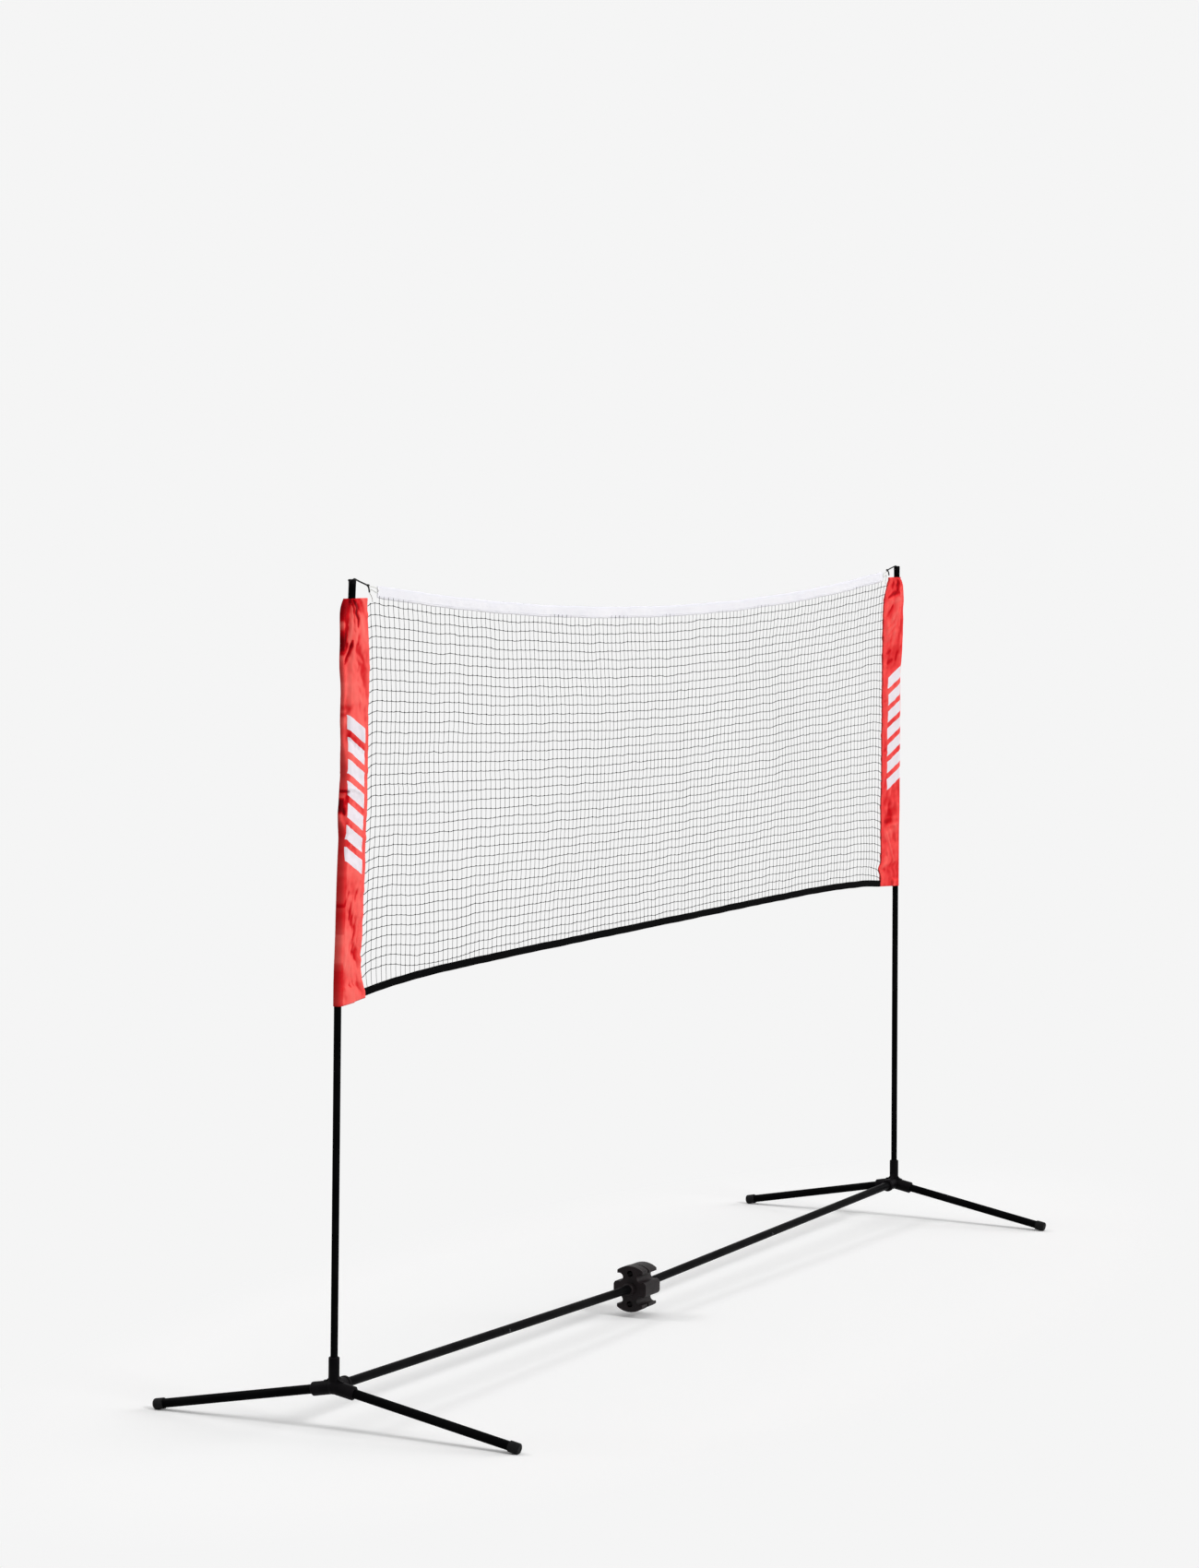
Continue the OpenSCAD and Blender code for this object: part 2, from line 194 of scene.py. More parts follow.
def addCamera():
    yaw, pitch, roll = (math.radians(camera[k]) for k in ("yaw", "pitch", "roll"))
    data = bpy.data.cameras.new("camera")
    data.sensor_width = camera["sensor"]
    data.lens = camera["sensor"] * camera["focalPixels"] / camera["frameHeight"]
    data.clip_end = 200
    eye = linkObject("camera", data)
    eye.matrix_world = Matrix.Translation(camera["place"])
    for angle, axis in ((-yaw, "Z"), (math.pi / 2 + pitch, "X"), (roll, "Z")):
        eye.matrix_world = eye.matrix_world @ Matrix.Rotation(angle, 4, axis)
    bpy.context.scene.camera = eye


addCamera()
print("camera placed")


studio = {
    "paper": "#f5f5f5",
    "ambient": 0.27,  # radiance of the room seen by matt surfaces
    "bounce": 0.30,  # share of light that the floor throws back up
    # softboxes: strength, direction to the lamp, apparent width in degrees
    "lamps": {
        "key": (1.2, (-0.208, -0.799, 0.564), 16),
        "fill": (0.45, (-0.203, 0.707, 0.677), 18),
        "side": (2.2, (0.68, -0.72, 0.14), 45),
        "overhead": (0.56, (0.05, 0.1, 1.0), 60),
    },
    "unseenInGloss": ("sideSoftbox", "overheadSoftbox"),
    "paperHalf": (2.4, 0.92),  # half lengths of the oval in which the floor is shaded
    "paperFrom": 0.76,  # share of the oval at which the paper starts
    "floorHalf": 30,
    "floorAt": -0.0006,  # just below the feet, so that no faces coincide
}


def addSun(name, strength, origin, angle):
    data = bpy.data.lights.new(name, "SUN")
    data.energy = strength
    data.angle = math.radians(angle)
    lamp = linkObject(name, data)
    # the broad lamps are flagged off from shiny surfaces, so that black ones stay black
    lamp.visible_glossy = name not in studio["unseenInGloss"]
    lamp.rotation_mode = "QUATERNION"
    lamp.rotation_quaternion = Vector(origin).to_track_quat("Z", "Y")


def seenDirectly(tree):
    # 1 for rays from the camera, mirrors and glass, 0 for rays that light matt surfaces
    path = addNode(tree, "LightPath").outputs
    both = calc(tree, "MAXIMUM", path["Is Camera Ray"], path["Is Glossy Ray"])
    return calc(tree, "MAXIMUM", both, path["Is Transmission Ray"])


def addFloor():
    # lit as a matt board near the object, it turns into plain paper further out
    paperColor = hexColor(studio["paper"])
    onFloor = studio["ambient"]
    for strength, origin, _ in studio["lamps"].values():
        onFloor += strength * Vector(origin).normalized().z / math.pi
    material, tree = startMaterial("paperFloor")
    path = addNode(tree, "LightPath")
    boardColor = blendColors(tree, path.outputs["Is Diffuse Ray"],
                             (*[c / onFloor for c in paperColor[:3]], 1),
                             (*[studio["bounce"]] * 3, 1))
    board = addNode(tree, "BsdfDiffuse", {"Color": boardColor})
    plain = addNode(tree, "Emission", {"Color": paperColor})
    halfLong, halfWide = studio["paperHalf"]
    oval = addNode(tree, "Mapping", {
        "Vector": objectPlace(tree), "Scale": (1 / halfLong, 1 / halfWide, 1)})
    far = addNode(tree, "VectorMath", {"operation": "LENGTH", 0: oval.outputs[0]})
    near = spread(tree, far.outputs["Value"], 1, 0, studio["paperFrom"], 1)
    share = calc(tree, "MAXIMUM", near, calc(tree, "SUBTRACT", 1.0, seenDirectly(tree)))
    both = addNode(tree, "MixShader", {0: share, 1: plain.outputs[0], 2: board.outputs[0]})
    addNode(tree, "OutputMaterial", links={"Surface": both.outputs[0]})
    side = studio["floorHalf"]
    mesh = bpy.data.meshes.new("floor")
    mesh.from_pydata([(-side, -side, 0), (side, -side, 0), (side, side, 0), (-side, side, 0)],
                     [], [(0, 1, 2, 3)])
    mesh.materials.append(material)
    floor = linkObject("floor", mesh)
    floor.location.z = studio["floorAt"]


def addStudio():
    world = bpy.data.worlds.new("room")
    bpy.context.scene.world = world
    world.use_nodes = True
    tree = world.node_tree
    tree.nodes.clear()
    light = addNode(tree, "Background", {"Color": (1, 1, 1, 1), "Strength": studio["ambient"]})
    paper = addNode(tree, "Background", {"Color": hexColor(studio["paper"])})
    both = addNode(tree, "MixShader", links={
        0: seenDirectly(tree), 1: light.outputs[0], 2: paper.outputs[0]})
    addNode(tree, "OutputWorld", links={"Surface": both.outputs[0]})
    for name, (strength, origin, angle) in studio["lamps"].items():
        addSun(name + "Softbox", strength, origin, angle)
    addFloor()
    bpy.context.scene.view_settings.view_transform = "Standard"


addStudio()
print("studio lit")


def powderCoatedSteel():
    # baked polyester powder on steel tube: deep black with a soft shine and faint orange peel
    material, tree = startMaterial("powderCoatedSteel")
    place = objectPlace(tree)
    color = shades(tree, grain(tree, place, 60 * mm, 3), "#060607", "#101011")
    rough = spread(tree, grain(tree, place, 3.5 * mm, 4, (0.12, 1, 1)), 0.3, 0.42)
    peel = relief(tree, grain(tree, place, 2.2 * mm), 0.12, 0.1 * mm)
    return endMaterial(material, 0.008, color, rough, peel)


def mouldedNylon(name, dark, light, shine):
    # glass-filled nylon from a spark-eroded mould: dark grey, fine grain, broad dull shine
    material, tree = startMaterial(name)
    place = objectPlace(tree)
    color = shades(tree, grain(tree, place, 25 * mm, 3), dark, light)
    speck = grain(tree, place, 1.1 * mm)
    return endMaterial(material, shine, color, spread(tree, speck, 0.42, 0.58),
                       relief(tree, speck, 0.25, 0.08 * mm))


def mouldedRubber():
    # black rubber cup: almost no shine, dusty where it meets the floor
    material, tree = startMaterial("mouldedRubber")
    place = objectPlace(tree)
    dust = grain(tree, place, 6 * mm, 4)
    low = spread(tree, partOf(tree, place, "Z"), 0.35, 0, 0, 9 * mm)
    color = blendColors(tree, calc(tree, "MULTIPLY", dust, low), "#0a0a0b", "#2c2a28")
    skin = relief(tree, grain(tree, place, 0.9 * mm), 0.3, 0.08 * mm)
    return endMaterial(material, 0.15, color, spread(tree, dust, 0.62, 0.8), skin)


def blackenedSteel():
    # spring steel pressed to a button and oxidised black: dark, rubbed brighter on the crown
    material, tree = startMaterial("blackenedSteel")
    marks = grain(tree, objectPlace(tree), 0.7 * mm, 3, (0.2, 1, 1))
    return endMaterial(material, 0.5, shades(tree, marks, "#1c1d20", "#3a3b3f"),
                       spread(tree, marks, 0.28, 0.42), relief(tree, marks, 0.1, 0.05 * mm), 1.0)


# Generic slanted bars, white on red, printed on both faces of each sleeve
sleevePrint = {
    "low": (1.034, 1.046),  # left and right sleeve
    "count": 7,
    "from": (0.014, 0.028),  # distance from the net's edge, left and right sleeve
    "to": (0.086, 0.098),
    "pitch": 0.041,
    "bar": 0.027,
    "slant": 0.42,  # rise of a bar over its width
}


def printMask(tree, across, height, side):
    # 1 on the printed bars, 0 on the bare cloth
    p = sleevePrint
    inner, outer = p["from"][side], p["to"][side]
    tilted = calc(tree, "SUBTRACT", height, calc(tree, "MULTIPLY", across, p["slant"]))
    climbed = calc(tree, "SUBTRACT", tilted, p["low"][side] - outer * p["slant"])
    bars = calc(tree, "DIVIDE", climbed, p["pitch"])
    total = calc(tree, "LESS_THAN", calc(tree, "FRACT", bars), p["bar"] / p["pitch"])
    for operation, value, limit in (
            ("GREATER_THAN", bars, 1.0), ("LESS_THAN", bars, p["count"] + 0.99),
            ("GREATER_THAN", across, inner), ("LESS_THAN", across, outer)):
        total = calc(tree, "MULTIPLY", total, calc(tree, operation, value, limit))
    return total


satin = {
    "tones": (("#fa5350", "#ff6b64"), ("#ef383b", "#ff5551")),  # left and right sleeve; the right one's darker tones are painted shade on the same satin
    # painted highlight on the ridges, then painted shade from rich red in the folds to deep red in
    # the valleys
    "ridge": "#ff7b72",
    "fold": "#d4101a",
    "valley": "#72040a",
    "ink": ("#f1e9f0", "#7c2c44"),  # on flat cloth, and darkened by painted shade in a fold
    "thread": 1.4 * mm,  # threads are 0.2 mm apart, drawn coarser so that they show
}


def redSatin(name, side):
    # polyester satin: its silky shine on the ridges is a painted highlight, and the folds turn deep
    # red by painted shade
    material, tree = startMaterial(name)
    cloth = clothPlace(tree)
    # painted shade (positive) and painted highlight (negative), laid on the sleeves' points
    fold = addNode(tree, "Attribute", {"attribute_name": "paintedFoldShading"}).outputs["Fac"]
    cloud = grain(tree, cloth, 35 * mm, 3)
    dyeAndPaintedLight = shades(tree, cloud, *satin["tones"][side])
    # the dyed tones take a painted highlight on the ridges and painted shade in the folds and
    # valleys
    dyeAndPaintedLight = shades(tree, fold, dyeAndPaintedLight, satin["ridge"], 0, -1)
    dyeAndPaintedLight = shades(tree, fold, dyeAndPaintedLight, satin["fold"], 0, 0.45)
    dyeAndPaintedLight = shades(tree, fold, dyeAndPaintedLight, satin["valley"], 0.4, 0.95)
    printed = printMask(tree, partOf(tree, cloth, "X"), partOf(tree, cloth, "Y"), side)
    # the print darkens by painted shade in the folds
    color = blendColors(tree, printed, dyeAndPaintedLight, shades(tree, fold, *satin["ink"], 0.3, 1))
    weave = relief(tree, waves(tree, cloth, "Y", satin["thread"], 1.2, 1.0), 0.06, 0.1 * mm)
    return endMaterial(material, 0.012, color, spread(tree, cloud, 0.34, 0.46), weave)


def twistedTwine():
    # black polyethylene twine: waxy, with the twist and knots a little lighter
    material, tree = startMaterial("twistedTwine")
    place = objectPlace(tree)
    cloud = grain(tree, place, 9 * mm)
    # the twist is 1 mm long, drawn 2 mm long
    twist = relief(tree, grain(tree, place, 2 * mm, 1), 0.4, 0.2 * mm)
    return endMaterial(material, 0.08, shades(tree, cloud, "#0a0a0c", "#171719"),
                       spread(tree, cloud, 0.5, 0.7), twist)


def wovenRibbon(name, dark, light, rib, roughness, shine, crease=None):
    # flat woven polyester: cross ribs, slight shading from handling, and a greyer crease that is
    # painted shade
    material, tree = startMaterial(name)
    cloth = clothPlace(tree)
    cloud = grain(tree, cloth, 45 * mm, 3, (0.4, 1, 1))
    color = shades(tree, cloud, dark, light)
    if crease:
        # a greyer band of painted shade along the crease, toning down its brightly lit fold
        at, paintedCreaseShade = crease
        away = calc(tree, "ABSOLUTE", calc(tree, "SUBTRACT", partOf(tree, cloth, "Y"), at))
        color = shades(tree, away, paintedCreaseShade, color, 3.5 * mm, 8 * mm)
    weave = calc(tree, "MULTIPLY", waves(tree, cloth, "X", rib, 0.4),
                 waves(tree, cloth, "Y", rib / 1.6, 0.6))
    return endMaterial(material, shine, color,
                       spread(tree, cloud, roughness - 0.06, roughness + 0.06),
                       relief(tree, weave, 0.35, 0.15 * mm))


def braidedCord(name, dark, light):
    # 8-carrier braid: crossed bundles, with painted shade where each dives under the next
    material, tree = startMaterial(name)
    # bundles are 0.6 mm apart, drawn 1 mm apart
    bundles = []
    for way in (1, -1):
        turned = addNode(tree, "Mapping", {"Scale": (way, 1, 1), "Vector": objectPlace(tree)})
        bundles.append(waves(tree, turned.outputs[0], "DIAGONAL", 1 * mm))
    braid = calc(tree, "MAXIMUM", *bundles)
    return endMaterial(material, 0.12, blendColors(tree, braid, dark, light),
                       spread(tree, braid, 0.75, 0.6), relief(tree, braid, 0.5, 0.25 * mm))


def sewingThread(name, dark, light):
    # filament sewing thread, a little shinier than the cloth that it holds
    material, tree = startMaterial(name)
    twist = grain(tree, objectPlace(tree), 0.8 * mm, 1)
    return endMaterial(material, 0.5, blendColors(tree, twist, dark, light),
                       spread(tree, twist, 0.4, 0.55), relief(tree, twist, 0.3, 0.1 * mm))


finishes = {
    "black_tube": powderCoatedSteel(),
    "hub_plastic": mouldedNylon("mouldedNylon", "#070608", "#141214", 0.04),
    "cap_rubber": mouldedRubber(),
    "spring_steel": blackenedSteel(),
    "net_twine": twistedTwine(),
    # the white tape's crease along its fold over the headrope gets a greyer painted shade
    "white_tape": wovenRibbon("whiteRibbon", "#f6f5fb", "#fdfcff", 1.2 * mm, 0.6, 0.1,
                              (25.4 * mm, "#f1f0f7")),
    "black_webbing": wovenRibbon("blackWebbing", "#020203", "#080809", 1.6 * mm, 0.65, 0.012),
    "black_cord": braidedCord("blackBraid", "#070708", "#1a1a1c"),
}
# the two sleeves' satins differ in tone and in depth of painted shade: painted light on one and the
# same cloth
satins = [redSatin("redSatinLeft", 0), redSatin("redSatinRight", 1)]
whiteBraid = braidedCord("whiteBraid", "#b9bab4", "#eeeee9")
whiteThread = sewingThread("whiteThread", "#d9d8e2", "#f4f3fa")
# a lighter, shinier copy of the hub nylon for the clip hub: painted light, standing in for its lit
# faces
clipNylonLitCopy = mouldedNylon("clipNylonLitCopy", "#110e0f", "#231c1e", 0.14)
redThread = sewingThread("redThread", "#b01e24", "#d8343a")

# Each rigid piece keeps its own shape and takes its finish from its name
nameParts = {"foot_cap": "cap_rubber", "hub": "hub_plastic", "post_cap": "hub_plastic",
             "snap": "spring_steel"}
for name, node in nodes.items():
    finish = next((nameParts[part] for part in nameParts if part in name), "black_tube")
    node.data.materials.clear()
    node.data.materials.append(clipNylonLitCopy if name == "clip_hub" else finishes[finish])
print("finishes made:", len(finishes))


def addObject(name, data, slotName, material=None, body="net"):
    # in the material of its slot or in its own
    data.materials.append(material or finishes[slotName])
    piece = linkObject(name, data)
    if body:
        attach(piece, body)
    return piece


def addPiece(name, points, faces, slotName, material=None, uv=None):
    # points (n, 3), faces (m, 4) or (m, 3); uv holds one pair for each corner of each face
    mesh = bpy.data.meshes.new(name)
    mesh.from_pydata(np.asarray(points, float).tolist(), [], np.asarray(faces, int).tolist())
    if uv is not None:
        layer = mesh.uv_layers.new(name="clothMetres")
        layer.data.foreach_set("uv", np.asarray(uv, np.float32).ravel())
    mesh.shade_smooth()
    return addObject(name, mesh, slotName, material)


def gridFaces(rows, columns):
    # quads of a grid of points whose last column is joined to its first
    r, c = np.meshgrid(np.arange(rows - 1), np.arange(columns), indexing="ij")
    a = (r * columns + c).ravel()
    b = (r * columns + (c + 1) % columns).ravel()
    return np.stack([a, b, b + columns, a + columns], 1)


def gridUv(u, v):
    # corner pairs for gridFaces, from arrays with one more column than its points have
    low, high = slice(None, -1), slice(1, None)
    corners = ((low, low), (low, high), (high, high), (high, low))
    return np.stack([np.stack([u[c], v[c]], -1).reshape(-1, 2) for c in corners], 1)


def scatter(places, shape, faces):
    # a copy of a small shape at each place; shape is (n, 3) or one shape for each place
    points = (places[:, None, :] + shape).reshape(-1, 3)
    step = np.arange(len(places))[:, None, None] * shape.shape[-2]
    return points, (np.asarray(faces)[None] + step).reshape(-1, len(faces[0]))


def strands(lines, radius, first, second):
    # a square tube along each line of points (count, points, 3), with closed ends
    count, long = lines.shape[:2]
    corner = np.arange(4)
    angle = (corner + 0.5) * math.pi / 2
    ring = radius * (np.cos(angle)[:, None] * first + np.sin(angle)[:, None] * second)
    shape = (lines[:, :, None, :] + ring).reshape(count, -1, 3)
    tube = np.concatenate([gridFaces(long, 4), [corner[::-1], (long - 1) * 4 + corner]])
    return scatter(np.zeros((count, 3)), shape, tube)


net = {
    "edges": (1.278, 1.253),  # left and right edge of the mesh from the middle
    "columns": 135,
    "rows": 37,
    "topEnd": 1.563,  # lower edge of the top tape at its ends
    "topSag": 0.060,
    "tapeHalf": 1.24,
    "bottomEnds": (0.827, 0.840),  # upper edge of the webbing at the two sleeves
    "bottomRise": 0.0165,
    # two rows' heights at the middle, left end and right end, and how late the ends rise
    "middleRow": (1.1595, 1.192, 1.1905, 1.45),
    "topRow": (1.489, 1.558, 1.554, 2.05),
    # course of the two edges: top offset, bottom offset, and the heights between which it runs
    "drift": ((-5 * mm, 11 * mm, 1.32, 0.86), (-5 * mm, 7 * mm, 1.40, 0.85)),
    # how far the edges are gathered in at the top, and over what height
    "gather": ((10 * mm, 0.068, 3), (29 * mm, 0.032, 1.4)),
    "gatherTop": 1.564,
    # unevenness of the rows: height, shortest and longest wave
    "waver": ((1.1 * mm, 0.09, 0.5), (0.7 * mm, 0.03, 0.09)),
    "lean": 1.5 * mm,  # of the uprights
    "drawnOut": 14 * mm,  # how far the taut tape draws the top out to both sides
    "billow": 4 * mm,
    "upright": 0.85 * mm,
    "course": 1.45 * mm,  # two strands side by side
    "knot": 2.9 * mm,
    "seed": 11,
}


def edgeOn(x):
    return np.where(x < 0, *net["edges"])


def topEdge(x):
    return net["topEnd"] - net["topSag"] * (1 - np.minimum(1, (x / net["tapeHalf"]) ** 2))


def bottomEdge(x):
    flat = x / edgeOn(x)
    left, right = net["bottomEnds"]
    return mix(left, right, (flat + 1) / 2) + net["bottomRise"] * (
        1 - np.minimum(1, np.abs(flat)) ** 7)


def driftAt(z, side):
    high, low, start, end = net["drift"][side]
    return mix(high, low, ease((start - z) / (start - end)))


def seamAt(z, side):
    # distance of the sewn edge from the middle; just above the hem it bulges towards the net
    most, over, sharp = net["gather"][side]
    gathered = most * fade(np.maximum(0, net["gatherTop"] - z), over, sharp)
    wave = 1.2 * mm * waver(z, 40 + side, 0.05, 0.22, 7)
    wave = wave + 1.1 * mm * waver(z, 44 + side, 0.022, 0.045, 5) * ease((1.02 - z) / 0.1)
    bulge = (12 * ease((0.846 - z) / 0.03) - 7 * bump(z, 0.89, 0.035),
             13 * bump(z, 0.868, 0.011) + 5 * bump(z, 1.01, 0.06))[side] * mm
    return net["edges"][side] + driftAt(z, side) + gathered + wave - bulge


def rowHeight(name, x):
    middle, left, right, late = net[name]
    share = np.minimum(1, np.abs(x) / edgeOn(x))
    return middle + (np.where(x < 0, left, right) - middle) * share ** late


def netPlace(column, row):
    # a knot of the hung net; column and row may be arrays and may lie between knots
    leftEdge, rightEdge = net["edges"]
    x = mix(-leftEdge, rightEdge, column / net["columns"])
    isLeft = x < 0
    share = np.clip(row / (net["rows"] - 1), 0, 1)
    inward = edgeOn(x) - np.abs(x)
    # the lowest row hangs just under the webbing's edge, and above it beside the left sleeve
    lift = np.where(isLeft, 19 * mm * (1 - ease((inward - 0.07) / 0.15))
                    - 5 * mm * bump(inward, 0.30, 0.11), 2 * mm)
    low = bottomEdge(x) - 6 * mm + lift
    middle, high = rowHeight("middleRow", x), rowHeight("topRow", x)
    z = low * (1 - share) * (1 - 2 * share) + middle * 4 * share * (1 - share) + (
        high * share * (2 * share - 1))
    # the last columns droop to the sleeve
    z = z - np.where(isLeft, 10 * fade(inward, 0.018, 1.5),
                     11 * (1 - share ** 2) * fade(inward, 0.028)) * mm
    for k, (most, shortest, longest) in enumerate(net["waver"]):
        z = z + most * ripple(x, z, net["seed"] + k, shortest, longest)
    z = np.where(row < 0, bottomEdge(x) - 7 * mm, np.maximum(z, bottomEdge(x) - 4 * mm))
    onTape = np.abs(x) < net["tapeHalf"] - 15 * mm
    z = np.where(row > net["rows"] - 1, np.where(onTape, topEdge(x) + 6 * mm, z + 1 * mm), z)
    drawn = net["drawnOut"] * np.tanh((x - 0.2) / 0.45)
    drawn = drawn * fade(np.maximum(0, high - z), 0.08)
    lean = net["lean"] * ripple(x, z, net["seed"] + 2, 0.07, 0.4)
    x = x + (drawn + lean) * (1 - fade(inward, 0.03))
    # low down the slack sleeves draw the mesh out with them
    drift = driftAt(z, 0)
    leftward = -drift * fade(inward, np.where(z < 1.2, 0.6, 0.05)) - (
        seamAt(z, 0) - leftEdge - drift) * fade(inward, 0.03)
    rightward = (seamAt(z, 1) - rightEdge) * fade(inward, 0.04)
    rightward = rightward + 12 * mm * ease((1.04 - z) / 0.14) * bump(inward, 0.125, 0.06)
    x = x + np.where(isLeft, leftward, rightward)
    # the mesh billows a little, but not where it is sewn
    hold = ease(inward / 0.25) * ease(share * 4) * ease((1 - share) * 4)
    y = net["billow"] * hold * ripple(x, z, net["seed"] + 3, 0.35, 1.2)
    return np.stack(np.broadcast_arrays(x, y, z), -1)


def knotShape():
    # a small lump that leans to one side, as a tightened sheet bend does
    sides = np.arange(5)
    angles = sides * 2 * math.pi / 5
    shape = [(0, 0, 0.52)]
    for turn, z in ((0, 0.2), (0.63, -0.2)):
        shape += [(0.5 * math.cos(a + turn), 0.42 * math.sin(a + turn), z) for a in angles]
    shape += [(0, 0, -0.52)]
    after = (sides + 1) % 5
    faces = [(0, 1 + k, 1 + n) for k, n in zip(sides, after)]
    for k, n in zip(sides, after):
        faces += [(1 + k, 6 + k, 1 + n), (1 + n, 6 + k, 6 + n)]
    faces += [(11, 6 + n, 6 + k) for k, n in zip(sides, after)]
    return np.array(shape) * net["knot"], faces


def addNet():
    columns, rows = net["columns"], net["rows"]
    # uprights run from inside the webbing to inside the tape, with a point between knots
    level = np.concatenate([[-0.5], np.arange(0, rows - 0.75, 0.5), [rows - 0.5]])
    c, r = np.meshgrid(np.arange(columns + 1), level, indexing="ij")
    lines = netPlace(c, r)
    slack = 0.5 * mm * np.sin(c * 12.9 + r * 4.7) * (np.abs(r % 1 - 0.5) < 0.01)
    lines[..., 0] += slack * (r > 0) * (r < rows - 1)
    uprights = strands(lines, net["upright"] / 2, *np.eye(3)[:2])
    # rows run from sleeve to sleeve, and each stretch hangs a little between its knots
    r, c = np.meshgrid(np.arange(1, rows), np.arange(0, columns + 0.1, 0.5), indexing="ij")
    lines = netPlace(c, r)
    lines[..., 2] -= 0.7 * mm * (np.abs(c % 1 - 0.5) < 0.01)
    courses = strands(lines, net["course"] / 2, *np.eye(3)[1:])
    c, r = np.meshgrid(np.arange(columns + 1), np.arange(1, rows), indexing="ij")
    knots = scatter(netPlace(c, r).reshape(-1, 3), *knotShape())
    for name, shape in (("uprights", uprights), ("courses", courses), ("knots", knots)):
        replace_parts(addPiece("net_" + name, *shape, "net_twine"), "net_mesh")


addNet()
print("net hung:", net["columns"], "by", net["rows"])


topTape = {
    "high": 0.024,
    "flat": 0.052,  # width of the ribbon before it is folded
    "fold": 2.4 * mm,  # radius of the fold over the headrope
    "leaf": 0.6 * mm,
    "stations": 620,
    "stitch": 3.4 * mm,
    "stitchUp": 4.5 * mm,
    "seed": 21,
}
webbing = {
    "high": 0.014,
    "thick": 1.7 * mm,
    "tail": 20 * mm,  # sewn in between the sleeve's two faces
    "stations": 560,
    "seed": 31,
}


def sweepAlongX(name, x, outline, slotName):
    # outline(x) gives the closed cross-section (points, 2) in Y and Z at each station
    ring = outline(x)
    rows, columns = ring.shape[:2]
    points = np.concatenate([
        np.broadcast_to(x[:, None, None], (rows, columns, 1)), ring], -1).reshape(-1, 3)
    faces = gridFaces(rows, columns).tolist()
    step = np.linalg.norm(np.diff(np.concatenate([ring, ring[:, :1]], 1), axis=1), axis=-1)
    around = np.concatenate([np.zeros((rows, 1)), np.cumsum(step, 1)], 1)
    along = np.broadcast_to(x[:, None], around.shape)
    uv = gridUv(along, around).reshape(-1, 2)
    # both ends are closed with quads across the section
    half = columns // 2
    for base, flip in ((0, 1), ((rows - 1) * columns, -1)):
        for k in range(half - 1):
            quad = [base + k, base + k + 1, base + columns - 2 - k, base + columns - 1 - k]
            faces.append(quad[::flip])
    uv = np.concatenate([uv, np.zeros(((half - 1) * 2 * 4, 2))])
    return addPiece(name, points, faces, slotName, uv=uv)


def tapeOutline(x):
    # an inverted U: both leaves come down from the fold and close on the mesh
    t = topTape
    seed = t["seed"]
    up = np.array([0, 3, 7, 11, 15, 18.5]) * mm
    bend = np.radians(np.arange(0, 181, 22.5))
    base = (topEdge(x) + 0.5 * mm * waver(x, seed, 0.03, 0.3))[:, None]
    shift = 1.1 * mm * waver(x, seed + 1, 0.06, 0.7)[:, None]
    top = t["high"] - t["fold"]
    # the fold is pressed and sewn flat at both ends
    fold = mix(0.72 * mm, t["fold"], ease((net["tapeHalf"] - np.abs(x)) / 0.025))[:, None]
    hem = np.minimum(0.95 * mm, fold)

    def side(sign, inset):
        # half thickness grows from the stitched edge to the fold
        spreadOut = hem + (fold - hem) * ease(up / top)
        puff = 0.28 * mm * ripple(x[:, None] + 0 * up, up[None] * 3, seed + 2 + int(sign > 0),
                                  0.02, 0.12)
        puff = np.clip(puff, -0.3 * mm, 0.8 * mm) * ease(up / 0.006) * (fold / t["fold"] - 0.3)
        y = sign * (spreadOut - inset + puff)
        return np.stack([y + shift, base + up + 0 * x[:, None]], -1)

    def leafLine(inset):
        radius = fold - inset
        y = -radius * np.cos(bend)[None] + shift
        z = base + top + radius * np.sin(bend)[None]
        arc = np.stack([y, z], -1)
        return np.concatenate([side(-1, inset), arc, side(1, inset)[:, ::-1]], 1)

    return np.concatenate([leafLine(0), leafLine(t["leaf"])[:, ::-1]], 1)


def webbingOutline(x):
    # flat strap with rounded selvedges, twisting slightly between its stitches
    w = webbing
    angle = np.radians(np.array([0, 40, 90, 140, 180]))
    half = w["thick"] / 2
    top = np.stack([-half * np.cos(angle), half * 0.9 * np.sin(angle)], -1)
    side = np.array([[half * 1.05, -w["high"] * 0.33], [half, -w["high"] * 0.66]])
    shape = np.concatenate([top, side, -top + [0, -w["high"]], side[::-1] * (-1, 1)])
    twist = 0.05 * waver(x, w["seed"], 0.15, 0.9)[:, None]
    shift = 0.7 * mm * waver(x, w["seed"] + 1, 0.2, 0.9)[:, None]
    y = shape[None, :, 0] + (shape[None, :, 1] + w["high"] / 2) * twist + shift
    z = shape[None, :, 1] + bottomEdge(x)[:, None] + (
        0.3 * mm * waver(x, w["seed"] + 2, 0.05, 0.3)[:, None])
    return np.stack([y, z], -1)


def stitchRow(name, starts, ends, outward, slotName, thread):
    # one bead of thread per stitch, half sunk in the cloth; outward is a direction per stitch
    starts, ends, outward = (np.asarray(a, float) for a in (starts, ends, outward))
    along = ends - starts
    long = np.linalg.norm(along, axis=1, keepdims=True)
    along = along / np.maximum(long, 1e-9)
    side = np.cross(along, outward)
    radius = 0.42 * mm
    angle = np.arange(5) * 2 * math.pi / 5 + 0.3
    rings = []
    for at, wide in ((-0.36, 0.45), (-0.2, 1.0), (0.2, 1.0), (0.36, 0.45)):
        centre = along[:, None, :] * long[:, None] * at
        around = (np.cos(angle)[None, :, None] * side[:, None, :]
                  + np.sin(angle)[None, :, None] * outward[:, None, :] * 0.75)
        rings.append(centre + around * radius * wide)
    shape = np.concatenate(rings, 1)
    middles = (starts + ends) / 2 + outward * 0.1 * mm
    addPiece(name, *scatter(middles, shape, gridFaces(4, 5)), slotName, thread)


